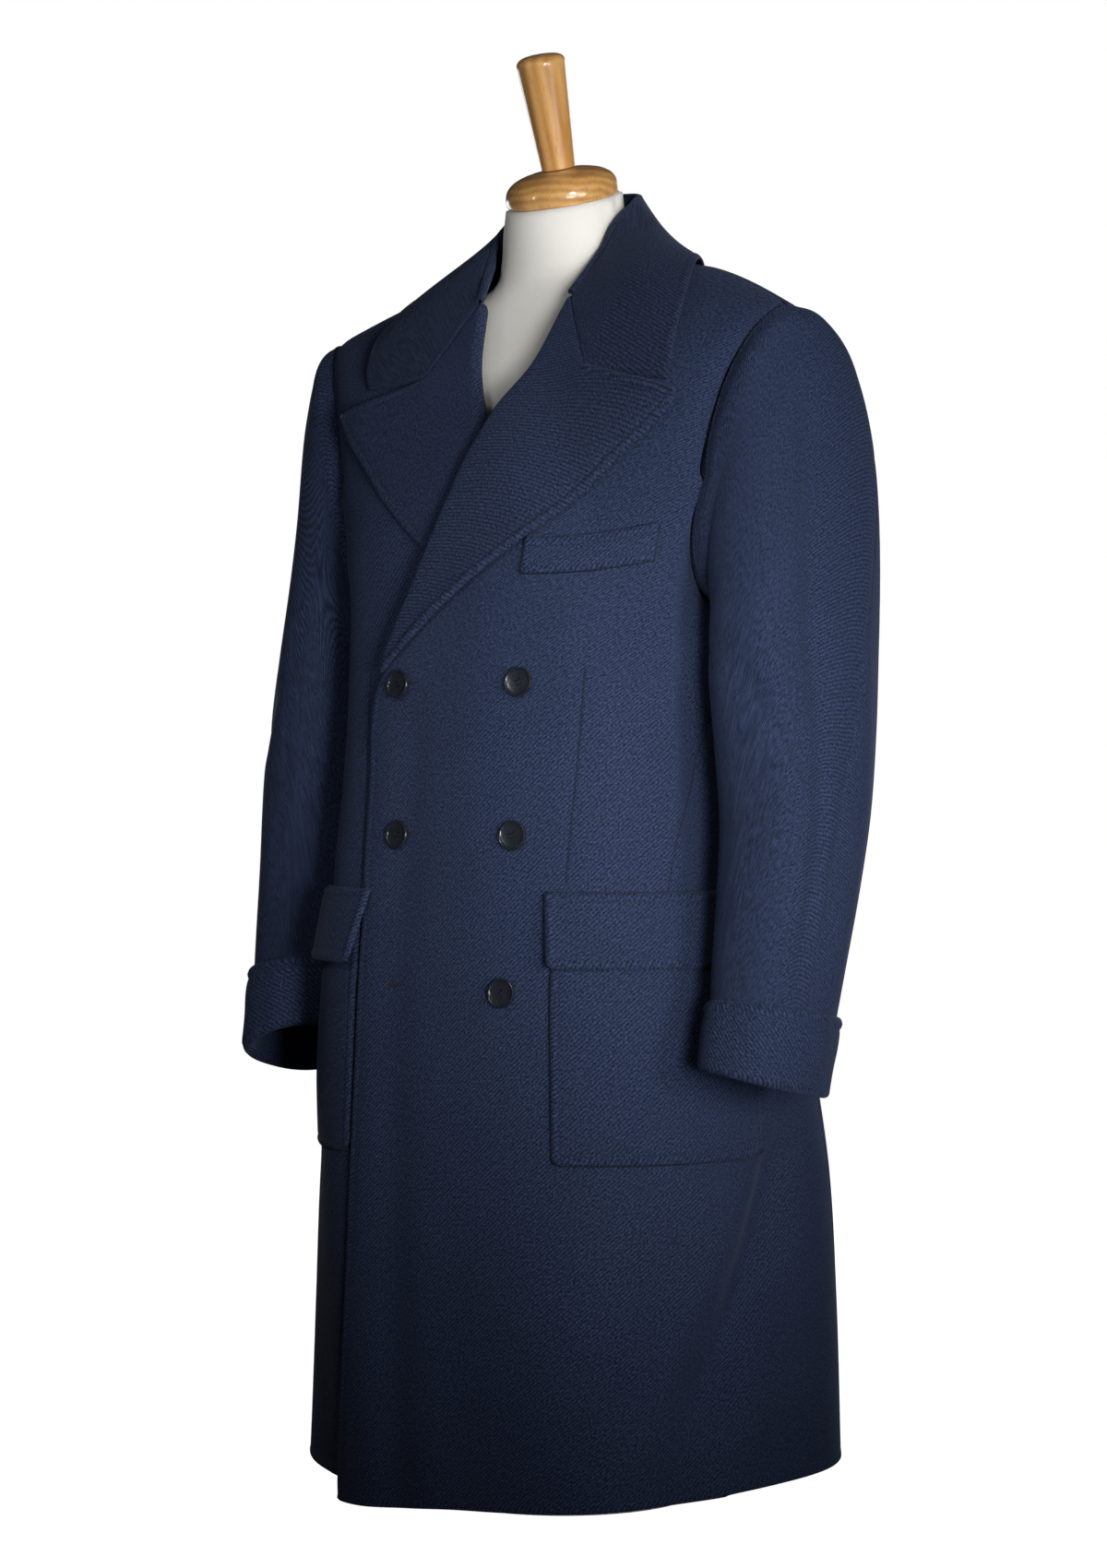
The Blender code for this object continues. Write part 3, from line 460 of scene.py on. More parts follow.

# %% [markdown]
# ## Navy wool twill
# Twill is woven in fine diagonal ribs, the wales. A wave that runs across the piece's
# own UV map, which is measured in metres, draws them at their real spacing on every
# piece, whatever its shape. Noise breaks the wales into yarns, mixes lighter and
# darker fibres, and raises a short nap. Sheen gives the soft pale bloom that wool has
# where light grazes it. The narrow shadow in a sewn line, along a dart or round a pocket
# is painted shade: a dark line in the colour. It and the small pick stitches beside an
# edge are too fine for the grid, so they come from attributes that hold each point's
# distance from the line, and its distance from the edge and along it.

# %% Node helpers
def new_material(name):
    made = bpy.data.materials.new(name)
    made.use_nodes = True
    return made, made.node_tree, made.node_tree.nodes["Principled BSDF"]


def put(tree, socket, value):
    """Sets an input from a number, a colour or another node's output."""
    if isinstance(value, bpy.types.NodeSocket):
        tree.links.new(value, socket)
    elif value is not None:
        socket.default_value = value


def node(tree, kind, values=(), out=0, **settings):
    """Adds a node, fills its inputs in order and returns one of its outputs."""
    made = tree.nodes.new("ShaderNode" + kind)
    for key, value in settings.items():
        setattr(made, key, value)
    for socket, value in zip(made.inputs, values):
        put(tree, socket, value)
    return made.outputs[out]


def fill(tree, shader, **values):
    """Sets a shader's inputs by name, with _ for a space."""
    for key, value in values.items():
        put(tree, shader.inputs[key.replace("_", " ")], value)


def object_place(tree):
    return node(tree, "TexCoord", out="Object")


def sums(tree, operation, *values):
    return node(tree, "Math", values, operation=operation)


def noise(tree, vector, scale, detail=3.0, roughness=0.6):
    made = tree.nodes.new("ShaderNodeTexNoise")
    put(tree, made.inputs["Vector"], vector)
    made.inputs["Scale"].default_value = scale
    made.inputs["Detail"].default_value = detail
    made.inputs["Roughness"].default_value = roughness
    return made.outputs["Fac"]


def spread_to(tree, value, low, high, to_low=0.0, to_high=1.0):
    """Stretches a value from one range to another and holds it there."""
    return node(tree, "MapRange", (value, low, high, to_low, to_high), clamp=True)


def blend_colours(tree, share, first, second):
    made = tree.nodes.new("ShaderNodeMix")
    made.data_type = "RGBA"
    put(tree, made.inputs[0], share)
    put(tree, made.inputs[6], first)
    put(tree, made.inputs[7], second)
    return made.outputs[2]


def bump(tree, height, strength, distance, normal=None):
    made = tree.nodes.new("ShaderNodeBump")
    made.inputs["Strength"].default_value = strength
    made.inputs["Distance"].default_value = distance
    put(tree, made.inputs["Height"], height)
    put(tree, made.inputs["Normal"], normal)
    return made.outputs[0]


# %% The wool
WALE = 0.0029  # from one wale to the next
WALE_ANGLE = math.radians(42)
DEEP_NAVY = (0.0050, 0.0088, 0.025)
NAVY = (0.0470, 0.0725, 0.166)
PALE_FIBRE = (0.100, 0.140, 0.270)
# The first colour is painted shadow, the dark line laid along seams, darts and the sewn edges of pockets,
# flaps and the welt; the second is the pick stitches' thread.
CREVICE_SHADOW, THREAD_SHADE = (0.003, 0.004, 0.008, 1), (0.004, 0.005, 0.011, 1)
SHEEN_BLUE = (0.45, 0.55, 0.85, 1)
PICK_AT, PICK_STEP = 0.0072, 0.0045  # the pick stitches' distance from the edge and spacing


def make_wool(name, shade=1.0):
    """Wool twill; shade darkens the whole copy, painted shade that makes the lapels and collar darker than
    the body.
    """
    made, tree, shader = new_material(name)
    deep, navy, pale = (
        [part * shade for part in colour] + [1] for colour in (DEEP_NAVY, NAVY, PALE_FIBRE)
    )
    uv = node(tree, "UVMap", uv_map="cloth")
    along = (math.cos(WALE_ANGLE), math.sin(WALE_ANGLE), 0)
    across = (-math.sin(WALE_ANGLE) / WALE, math.cos(WALE_ANGLE) / WALE, 0)
    wobble = sums(tree, "MULTIPLY", sums(tree, "SUBTRACT", noise(tree, uv, 90, 2), 0.5), 0.15)
    count = sums(tree, "ADD", node(tree, "VectorMath", (uv, across), 1, operation="DOT_PRODUCT"), wobble)
    wave = sums(tree, "SINE", sums(tree, "MULTIPLY", count, math.tau))
    wale = spread_to(tree, wave, -0.8, 0.8)
    run = node(tree, "VectorMath", (uv, along), 1, operation="DOT_PRODUCT")
    yarn_place = node(tree, "CombineXYZ", (sums(tree, "MULTIPLY", run, 420.0), count, 0.0))
    yarn = noise(tree, yarn_place, 1.6, 2)
    fibre = noise(tree, uv, 900, 2, 0.7)
    melange = noise(tree, uv, 480, 3, 0.7)
    patch = noise(tree, uv, 9, 2)
    lit = sums(tree, "MULTIPLY", wale, spread_to(tree, yarn, 0.25, 0.75, 0.45, 1.0))
    grains = spread_to(tree, melange, 0.36, 0.64, -0.30, 0.52)
    tone = sums(tree, "ADD", sums(tree, "MULTIPLY", lit, 0.52), grains)
    tone = sums(tree, "MULTIPLY", tone, spread_to(tree, patch, 0.3, 0.7, 0.9, 1.1))
    colour = blend_colours(tree, tone, deep, navy)
    speck = sums(tree, "MULTIPLY", spread_to(tree, fibre, 0.56, 0.70), 0.45)
    colour = blend_colours(tree, speck, colour, pale)
    near, there, edge, edge_run = (
        node(tree, "Attribute", out=2, attribute_name=key) for key in ("line", "shadow_line_on", "edge", "edge_run")
    )
    # Painted shadow: a near black line along seams, darts and sewn-down edges, where shade falls in the
    # crevice.
    line = spread_to(tree, sums(tree, "ABSOLUTE", near), 0.0004, 0.0014, 1.0, 0.0)
    line = sums(tree, "MULTIPLY", line, there)
    colour = blend_colours(tree, sums(tree, "MULTIPLY", line, 0.92), colour, CREVICE_SHADOW)
    stitch_row = sums(tree, "ABSOLUTE", sums(tree, "SUBTRACT", edge, PICK_AT))
    stitch_row = spread_to(tree, stitch_row, 0.0005, 0.0010, 1.0, 0.0)
    beat = sums(tree, "SINE", sums(tree, "MULTIPLY", edge_run, math.tau / PICK_STEP))
    pick = sums(tree, "MULTIPLY", stitch_row, spread_to(tree, beat, 0.0, 0.5))
    colour = blend_colours(tree, sums(tree, "MULTIPLY", pick, 0.7), colour, THREAD_SHADE)
    relief = sums(tree, "ADD", wale, sums(tree, "MULTIPLY", fibre, 0.8))
    relief = sums(tree, "SUBTRACT", relief, sums(tree, "MULTIPLY", line, 3.0))
    fill(
        tree, shader, Base_Color=colour, Roughness=0.88, Specular_IOR_Level=0.25, Sheen_Weight=0.10,
        Sheen_Roughness=0.45, Sheen_Tint=SHEEN_BLUE, Normal=bump(tree, relief, 0.5, 0.0004),
    )
    return made


wool = make_wool("navy_wool_twill")
# Darker copies of the same wool: painted shade on the lapels and on the collar.
lapel_wool_painted_shade = make_wool("navy_wool_lapel_painted_shade", 0.90)
collar_wool_painted_shade = make_wool("navy_wool_collar_painted_shade", 0.74)
print("materials:", wool.name, lapel_wool_painted_shade.name, collar_wool_painted_shade.name)

# %% [markdown]
# ## Laying a grid of cloth
# bmesh makes a flat grid, and each of its points is moved to a place on the body. The
# grid is finer beside a finished edge, where the cloth is turned under and pressed,
# and picked with small hand stitches that pull it into a groove. The UV map holds the
# piece's own lengths, so the wales keep their spacing.

# %% Grid positions and edges
NEAR_EDGE = np.array([
    0, 0.0006, 0.0014, 0.0024, 0.0036, 0.0050, 0.0062, 0.0072, 0.0082, 0.0095, 0.0115, 0.014,
])


def spaced(length, cell, start=False, end=False):
    """Positions from 0 to 1 along a length, finer beside a finished end."""
    head = NEAR_EDGE[NEAR_EDGE < length / 2] if start else NEAR_EDGE[:1]
    tail = length - (NEAR_EDGE[NEAR_EDGE < length / 2] if end else NEAR_EDGE[:1])[::-1]
    count = max(round((tail[0] - head[-1]) / cell), 1)
    middle = np.linspace(head[-1], tail[0], count + 1)[1:-1]
    return np.concatenate((head, middle, tail)) / length


def lengths(points):
    """Distances over a grid of points from its left, right, foot and top edges."""
    across = np.linalg.norm(np.diff(points, axis=1), axis=-1)
    up = np.linalg.norm(np.diff(points, axis=0), axis=-1)
    left = np.pad(np.cumsum(across, axis=1), ((0, 0), (1, 0)))
    foot = np.pad(np.cumsum(up, axis=0), ((1, 0), (0, 0)))
    return left, left[:, -1:] - left, foot, foot[-1:] - foot


def facing(points, flip):
    """Outward directions of a grid of points."""
    across, up = np.gradient(points, axis=1), np.gradient(points, axis=0)
    return unit(np.cross(across, up)) * (-1 if flip else 1)


def raised(points, lift_off, flip):
    """A grid of points moved outwards."""
    return points + facing(points, flip) * lift_off[..., None]


def ways(points):
    """Directions along the rows and up the columns of a grid."""
    return unit(np.gradient(points, axis=1)), unit(np.gradient(points, axis=0))


def nearest(*edges):
    """Distance to the nearest of several edges, and how far along that edge."""
    near, along = edges[0]
    for other, other_along in edges[1:]:
        along = np.where(other < near, other_along, along)
        near = np.minimum(near, other)
    return near, along


RIM_DROP, RIM_WIDE = 0.0011, 0.0018
PLUMP_AT, PLUMP_WIDE = 0.0036, 0.0022
GROOVE_DEEP, GROOVE_WIDE = 0.00055, 0.0014


def finished(near, roll=0.0007, picked=1.0):
    """Height of the cloth beside a finished edge: rolled under, plump, then a picked groove."""
    rim = -RIM_DROP * np.clip(1 - near / RIM_WIDE, 0, 1) ** 2
    plump = roll * hump(near, PLUMP_AT, PLUMP_WIDE)
    return rim + plump - GROOVE_DEEP * picked * hump(near, PICK_AT, GROOVE_WIDE)


def sewn(near, deep=0.0009, wide=0.0022):
    """Height of the cloth beside a seam: a narrow valley."""
    return -deep * hump(near, 0.0, wide)


def round_corner(points, near_a, near_b, way_a, way_b, radius):
    """Rounds the corner between two edges; the ways point from the edges into the piece."""
    a, b = 1 - np.clip(near_a / radius, 0, 1), 1 - np.clip(near_b / radius, 0, 1)
    inside = (a > 0) & (b > 0)
    share = np.maximum(a, b) / np.maximum(np.hypot(a, b), 1e-9)
    shift_a = np.where(inside, a * (1 - share), 0.0) * radius
    shift_b = np.where(inside, b * (1 - share), 0.0) * radius
    return points + way_a * shift_a[..., None] + way_b * shift_b[..., None]


# %% Making a cloth piece
WELD = 1e-6  # points nearer than this become one


def cloth(node_name, points, flip=False, wall=CLOTH, keep=None, closed=False, grain=0.0,
          mirror_grain=False, line=None, picks=None, finish=None):
    """A piece of wool over a grid of points, rows first, standing for one frame node."""
    name = "wool_" + node_name
    rows, columns = points.shape[0] - 1, points.shape[1] - 1
    mesh = bmesh.new()
    bmesh.ops.create_grid(mesh, x_segments=columns, y_segments=rows, size=0.5)
    if keep is not None:
        lost = []
        for face in mesh.faces:
            cell = face.calc_center_median()
            if not keep[int((cell.y + 0.5) * rows), int((cell.x + 0.5) * columns)]:
                lost.append(face)
        bmesh.ops.delete(mesh, geom=lost, context="FACES")
    flat = np.array([vert.co[:2] for vert in mesh.verts]) + 0.5
    column = np.rint(flat[:, 0] * columns).astype(int)
    row = np.rint(flat[:, 1] * rows).astype(int)
    left, _, foot, _ = lengths(points)
    turned_by = math.radians(grain)
    u = -left if mirror_grain else left
    uv = np.stack((
        u * math.cos(turned_by) + foot * math.sin(turned_by),
        foot * math.cos(turned_by) - u * math.sin(turned_by),
    ), -1)[row, column]
    placed = settled(points)[row, column] - (0, 0, DATUM)
    for vert, co in zip(mesh.verts, placed):
        vert.co = co
    if flip:
        bmesh.ops.reverse_faces(mesh, faces=mesh.faces)
    data = to_data(mesh, name)
    corners = np.empty(len(data.loops), np.int32)
    data.loops.foreach_get("vertex_index", corners)
    data.uv_layers.new(name="cloth").data.foreach_set("uv", uv[corners].astype(np.float32).ravel())
    # line and shadow_line_on place the wool's painted shadow; edge and edge_run place the pick stitches.
    for keys, grids in ((("line", "shadow_line_on"), line), (("edge", "edge_run"), picks)):
        for key, values in zip(keys, grids or ()):
            spots = data.attributes.new(key, "FLOAT", "POINT")
            spots.data.foreach_set("value", values[row, column].astype(np.float32))
    if closed:
        welded = bmesh.new()
        welded.from_mesh(data)
        bmesh.ops.remove_doubles(welded, verts=welded.verts, dist=WELD)
        welded.to_mesh(data)
        welded.free()
    data.shade_smooth()
    data.materials.append(finish or wool)
    made = bpy.data.objects.new(name, data)
    bpy.context.scene.collection.objects.link(made)
    shell = made.modifiers.new("wall", "SOLIDIFY")
    shell.thickness = wall
    shell.offset = 1.0
    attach(made, "root")
    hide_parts(node_name)
    print(name, len(data.polygons), "cells,", round(sum(p.area for p in data.polygons), 3), "m2")
    return made


def side_name(side):
    return "left" if side > 0 else "right"


# %% [markdown]
# ## The fronts
# Each front is cut in one with the cloth under the arm. Its grid has two parts: the
# chest, from the front edge to the armhole and up over the shoulder, and the part
# under the arm, whose top is the round bottom of the armhole. The left front laps over
# the right one. The darts that shape the waist are shallow valleys drawn as lines of
# painted shadow.

# %% Front panels
CELL = 0.0042  # usual width of a cell
CHEST_WIDTH, UNDER_WIDTH, LOWER_LENGTH, UPPER_LENGTH = 0.36, 0.26, 0.86, 0.23
ACROSS_CHEST = spaced(CHEST_WIDTH, CELL, start=True)
ACROSS_UNDER = spaced(UNDER_WIDTH, CELL)
UP_LOWER = spaced(LOWER_LENGTH, CELL, start=True)
UP_SHOULDER = spaced(UPPER_LENGTH, CELL)

# Lines of the darts: height, then x for the front dart or angle for the underarm one.
FRONT_DART = np.array([
    (0.541, 0.1040), (0.590, 0.1045), (0.640, 0.1060), (0.700, 0.1075), (0.731, 0.1080),
])
UNDERARM_DART = np.array([
    (0.5365, 61.5), (0.571, 64.8), (0.6235, 71.4), (0.6505, 74.0), (0.690, 81.3), (0.740, 87.0),
])
# Heights between which each dart starts, then fades.
FRONT_DART_ENDS = ((0.538, 0.542), (0.715, 0.735))
UNDERARM_DART_ENDS = ((0.534, 0.538), (0.70, 0.745))
DART_RADIUS = 0.19  # turns the angle from the underarm dart into a length
# The last is the strength of the painted shadow along a dart.
DART_DEEP, DART_WIDE, DART_SHADOW = 0.0007, 0.005, 0.6
ARM_SEAM = (0.0028, 0.012)  # depth and width of the valley round the armhole
HEM_CORNER = 0.006


def seam_angle(height):
    return angle_of_y(between(SIDE_SEAM, 1, height), height)


def armhole_foot(forward):
    return CHEST - ARM_DROP * (1 - np.abs(forward) ** ARM_ROUND) ** (1 / ARM_ROUND)


def hem(side, angle):
    height = between(HEM, 1, np.degrees(angle))
    return height if side > 0 else np.maximum(height, RIGHT_HEM)


def roll_at(lift):
    """x of the roll line where the body has this lift."""
    height = CHEST + 0.2 * lift
    for _ in range(8):
        x = between(FRONT_EDGE, 1, height)
        height = mix(CHEST, ridge(x), lift)
    return x


def front_grid(side):
    """Angle, height and lift at each point of a front's grid."""
    lower, upper = UP_LOWER[:, None], UP_SHOULDER[1:, None]
    across = ACROSS_CHEST[None, :]
    height = mix(hem(side, mix(EDGE_TURN, ARM_TURN, across)), CHEST, lower)
    clear = FOLD_CLEAR * ease(height, BREAK - 0.02, BREAK)
    inner = angle_of_x(between(FRONT_EDGE, 1, height) + clear, height)
    low_angle = mix(inner, angle_of_y(-ARM_Y, height), across)
    lift = np.sin(math.pi / 2 * upper) + 0 * across
    inner = angle_of_x((roll_at(lift) + FOLD_CLEAR) / widening(lift), CHEST)
    high_angle = mix(inner, angle_of_y(-ARM_Y, CHEST), across)
    chest = [np.vstack(pair) for pair in (
        (low_angle, high_angle), (height, CHEST + 0 * lift), (0 * height, lift),
    )]
    k = ACROSS_UNDER[None, 1:]
    forward = np.cos(math.pi * k)
    top = armhole_foot(forward)
    start, end = angle_of_y(-ARM_Y, top), seam_angle(top)
    share = (angle_of_y(-ARM_Y * forward, top) - start) / (end - start)
    height = mix(hem(side, mix(ARM_TURN, SIDE_TURN, k)), top, lower)
    angle = mix(angle_of_y(-ARM_Y, height), seam_angle(height), share) - k * SEAM / 2 / SIDE_RADIUS
    rest = len(UP_SHOULDER) - 1
    under = [np.vstack((part, np.repeat(part[-1:], rest, axis=0))) for part in (angle, height, 0 * height)]
    return [np.hstack(pair) for pair in zip(chest, under)]


def front_points(side):
    angle, height, lift = front_grid(side)
    bare = body(angle, height, lift)
    off = over(bare[..., 0], bare[..., 2]) if side > 0 else 0.0
    points = skin(angle, height, lift, off + folds(side * angle, bare[..., 2]))
    return points * (side, 1, 1), angle, bare


def dart_lines(angle, bare):
    """Signed distance to the nearer dart and whether it runs at this height."""
    x, z = bare[..., 0], bare[..., 2]
    first = x - between(FRONT_DART, 1, z)
    second = (np.radians(between(UNDERARM_DART, 1, z)) - angle) * DART_RADIUS
    on_first, on_second = (
        ease(z, *start) * (1 - ease(z, *end)) for start, end in (FRONT_DART_ENDS, UNDERARM_DART_ENDS)
    )
    nearer = np.abs(first) < np.abs(second)
    return np.where(nearer, first, second), np.where(nearer, on_first, on_second)


def make_front(side):
    """One front, with its edge, hem, armhole, side seam and darts."""
    points, angle, bare = front_points(side)
    split, level = len(ACROSS_CHEST) - 1, len(UP_LOWER) - 1
    left, right, foot, top = lengths(points)
    below_break = 1 - ease(bare[..., 2], BREAK - 0.03, BREAK)
    edge = finished(left, roll=0.0002, picked=0.7) * below_break
    bottom = finished(foot, roll=0.0005, picked=0.0)
    under = np.arange(points.shape[1])[None, :] > split
    arm_top = np.where(under, foot[level] - foot, 1.0)
    arm_side = np.where(np.arange(points.shape[0])[:, None] >= level, left[:, split:split + 1] - left, 1.0)
    arm = np.where(under, arm_top, np.abs(arm_side))
    back_edge = np.where(under, right, 1.0)
    side_seam = sewn(back_edge) + sewn(top * np.where(under, 100.0, 1.0))
    near, on = dart_lines(angle, bare)
    valley = -DART_DEEP * hump(near, 0, DART_WIDE) * on
    lift_off = np.where(left < foot, edge, bottom) + sewn(arm, *ARM_SEAM) + side_seam + valley
    points = raised(points, lift_off, side < 0)
    points = round_corner(points, left, foot, *ways(points), HEM_CORNER)
    keep = np.ones((points.shape[0] - 1, points.shape[1] - 1), bool)
    keep[level:, split:] = False
    # The darts' lines carry painted shadow into the wool.
    cloth(
        "front_" + side_name(side), points, flip=side < 0, keep=keep, mirror_grain=side < 0,
        line=(near, DART_SHADOW * on), picks=(left + (below_break < 0.5), foot),
    )


for side in (1, -1):
    make_front(side)

# %% [markdown]
# ## The backs
# Two plain panels, joined by a seam down the middle and sewn to the fronts behind the
# arms. Their top edge curves down a little at the neck, under the collar.

# %% Back panels
BACK_WIDTH = 0.26
ACROSS_BACK = spaced(BACK_WIDTH, CELL, start=True)
SIDE_DEEP, SIDE_WIDE, SIDE_HIGH = 0.0009, 0.0022, 1.3  # deeper beside the armhole
MIDDLE_SEAM = (0.0008, 0.0020)


def back_points(side):
    """Rows run from the hem to the shoulder, columns from the centre back to the side."""
    across = ACROSS_BACK[None, :]
    up = np.concatenate((UP_LOWER, np.ones(len(UP_SHOULDER) - 1)))[:, None]
    height = mix(hem(1, mix(math.pi, SIDE_TURN, across)), CHEST, up)
    middle = math.pi - SEAM / 2 / between(BODY, BACK, height)
    angle = mix(middle, seam_angle(height) + SEAM / 2 / SIDE_RADIUS, across)
    rise = np.concatenate((np.zeros(len(UP_LOWER)), np.sin(math.pi / 2 * UP_SHOULDER[1:])))[:, None]
    inside = np.minimum(np.abs(outline(angle, CHEST)[..., 0]) * (1 + SPREAD) / NECK_X, 1.0)
    lift = rise * (1 - NECK_DIP * (1 - inside**2))
    bare = body(angle, height, lift)
    return skin(angle, height, lift, folds(side * angle, bare[..., 2])) * (side, 1, 1)


def make_back(side):
    """One back, with its middle, side, shoulder and hem."""
    points = back_points(side)
    left, right, foot, top = lengths(points)
    high = np.arange(points.shape[0])[:, None] >= len(UP_LOWER) - 1
    side_edge = sewn(right, SIDE_DEEP, SIDE_WIDE) * np.where(high, SIDE_HIGH, 1.0)
    middle = sewn(left, *MIDDLE_SEAM)
    lift_off = side_edge + middle + sewn(top) + finished(foot, roll=0.0005, picked=0.0)
    points = raised(points, lift_off, side > 0)
    cloth("back_" + side_name(side), points, flip=side > 0, mirror_grain=side > 0)


for side in (1, -1):
    make_back(side)

# %% [markdown]
# ## The lapels
# A lapel is the top of the front turned back on itself. It leaves the body along the
# roll line in a soft fold, never pressed flat, and comes down again towards its outer
# edge. Peak lapels point up past the collar.

# %% Lapel panels
# Part of the way from the break to the tip, x, height.
LAPEL_EDGE = np.array([
    (0.00, -0.0800, 0.7175),
    (0.20, -0.0220, 0.7690),
    (0.40, 0.0290, 0.8065),
    (0.60, 0.0830, 0.8505),
    (0.80, 0.1300, 0.8960),
    (0.93, 0.1600, 0.9275),
    (1.00, 0.1745, 0.9480),
])
GORGE_NOTCH = np.array((0.0825, 0.9742))
COLLAR_CORNER = {1: np.array((0.1625, 0.9600)), -1: np.array((0.1450, 0.9730))}
LAPEL_TIP = LAPEL_EDGE[-1, 1:]
LAPEL_START = 0.01
LAPEL_OUT = LAYER + 0.0012
LAPEL_SETTLES = 0.8
LAPEL_CURL = {1: 0.0060, -1: 0.0030}  # how far the tip stands away from the chest
EDGE_CURL = {1: 0.0024, -1: 0.0008}
ROLL_RADIUS = 0.005
ROLL_BACK = math.radians(50)  # how far the fold runs on under itself
ROLL_CELLS = 14
LAPEL_SIZE = (0.17, 0.34)
LAPEL_ACROSS = spaced(LAPEL_SIZE[0], 0.0032, end=True)
LAPEL_UP = spaced(LAPEL_SIZE[1], 0.0028, end=True)
GORGE_SEAM = (0.0010, 0.0020)
LAPEL_ROLL = {1: 0.0010, -1: 0.0004}
LAPEL_GRAIN = {1: -17.0, -1: 0.0}
LAPEL_BELLY, LAPEL_CORNER = 0.0010, 0.012


def along_gorge(part, notch_at, corner):
    """The line from the roll down the gorge to the notch, then out to a corner."""
    start = np.array((between(FRONT_EDGE, 1, GORGE_HEIGHT), GORGE_HEIGHT))
    part, notch_at = np.broadcast_arrays(part, notch_at)
    down = mix(start, GORGE_NOTCH, (part / notch_at)[..., None])
    out = mix(GORGE_NOTCH, np.asarray(corner), ((part - notch_at) / (1 - notch_at))[..., None])
    return np.where((part < notch_at)[..., None], down, out)


def lapel_points(side):
    """Rows run from the break to the gorge, columns round the roll and out to the edge."""
    q = mix(LAPEL_START, 1.0, LAPEL_UP)[:, None]
    height = mix(BREAK, GORGE_HEIGHT, q)
    inner = spot(between(FRONT_EDGE, 1, height), height, 0)[..., :2]
    outer = spot(between(LAPEL_EDGE, 1, q), between(LAPEL_EDGE, 2, q), 0)[..., :2]
    length = np.linalg.norm(outer - inner, axis=-1)
    radius = np.minimum(ROLL_RADIUS, 0.35 * length)
    turn = np.linspace(-ROLL_BACK, math.pi / 2, ROLL_CELLS + 1)[None, :]
    t = LAPEL_ACROSS[None, 1:]
    part = np.hstack((radius * (1 - np.cos(turn)) / length, mix(radius / length, 1.0, t)))
    curl = LAPEL_CURL[side] * ease(q, 0.72, 1.0) * ease(t, 0.35, 1.0) + EDGE_CURL[side] * ease(t, 0.5, 1.0)
    out = np.hstack((radius * np.sin(turn), mix(radius, LAPEL_OUT, ease(t, 0.0, LAPEL_SETTLES)) + curl))
    start = np.array((between(FRONT_EDGE, 1, GORGE_HEIGHT), GORGE_HEIGHT))
    notch_at = mix(radius / length, 1.0, 0.5)
    bend = along_gorge(part, notch_at, LAPEL_TIP) - mix(start, LAPEL_TIP, part[..., None])
    flat = mix(inner, outer, part[..., None]) + bend * (q**4)[..., None]
    return on_front(side, flat[..., 0], flat[..., 1], out), part - notch_at


def make_lapel(side):
    """One lapel, sewn to the collar up to the notch and free from there round to the break."""
    points, past_notch = lapel_points(side)
    left, right, foot, top = lengths(points)
    free_top = np.where(past_notch > 0, top, 1.0)
    gorge = sewn(top, *GORGE_SEAM) * (past_notch <= 0)
    near, along = nearest((right, foot), (free_top, left))
    belly = LAPEL_BELLY * hump(left, 0.45 * (left + right), 0.03) * ease(foot, 0.02, 0.12)
    points = raised(points, finished(near, roll=LAPEL_ROLL[side]) + gorge + belly, side < 0)
    across, up = ways(points)
    points = round_corner(points, right, free_top, -across, -up, LAPEL_CORNER)
    cloth(
        "lapel_" + side_name(side), points, flip=side < 0, grain=LAPEL_GRAIN[side],
        mirror_grain=side < 0, picks=(near, along), finish=lapel_wool_painted_shade,
    )


for side in (1, -1):
    make_lapel(side)

# %% [markdown]
# ## The collar
# The collar stands up from the neck, folds over at the top and falls outwards. Each
# row of the table is a section of it, from the centre back to the front end.

# %% Collar
# Forward, foot x y z, fold x y z, outer edge x y z, bow in front, bow upwards.
COLLAR = np.array([
    (0.0, 0.000, 0.0680, 1.0960, 0.000, 0.0680, 1.147, 0.0000, 0.1070, 1.0470, 0.000, -0.003),
    (0.2, 0.040, 0.0570, 1.0960, 0.040, 0.0550, 1.143, 0.0780, 0.0970, 1.0460, 0.000, -0.002),
    (0.4, 0.061, 0.0240, 1.1010, 0.060, 0.0210, 1.132, 0.1190, 0.0400, 1.0690, 0.000, -0.001),
    (0.6, 0.065, -0.0080, 1.1000, 0.062, -0.0110, 1.110, 0.1410, -0.0080, 1.0700, 0.000, 0.001),
    (0.8, 0.060, -0.0220, 1.0770, 0.059, -0.0270, 1.086, 0.1590, -0.0570, 1.0280, 0.006, 0.004),
    (1.0, 0.050, -0.0540, 1.0430, 0.048, -0.0590, 1.047, 0.1610, -0.0860, 0.9670, 0.010, 0.000),
])
FOOT, FOLD, FALL, BOW_FRONT, BOW_UP = 1, 4, 7, 10, 11
BOW_WAY = np.array((0.35, -0.94, 0))
FOLD_RADIUS = 0.0016
NOTCH_SHARE = 2 / 5
GORGE_CLEAR = 0.0006
ENDS_FROM = 0.80
COLLAR_LENGTH, STAND_CELLS, FOLD_CELLS = 0.50, 12, 8
COLLAR_GRAIN, COLLAR_CORNER_ROUND = 30.0, 0.004
AROUND_COLLAR = spaced(COLLAR_LENGTH, 0.0032, start=True, end=True)
DOWN_FALL = spaced(0.085, 0.0028, end=True)


def collar_part(first, forward):
    return np.stack([between(COLLAR, first + axis, forward) for axis in range(3)], -1)


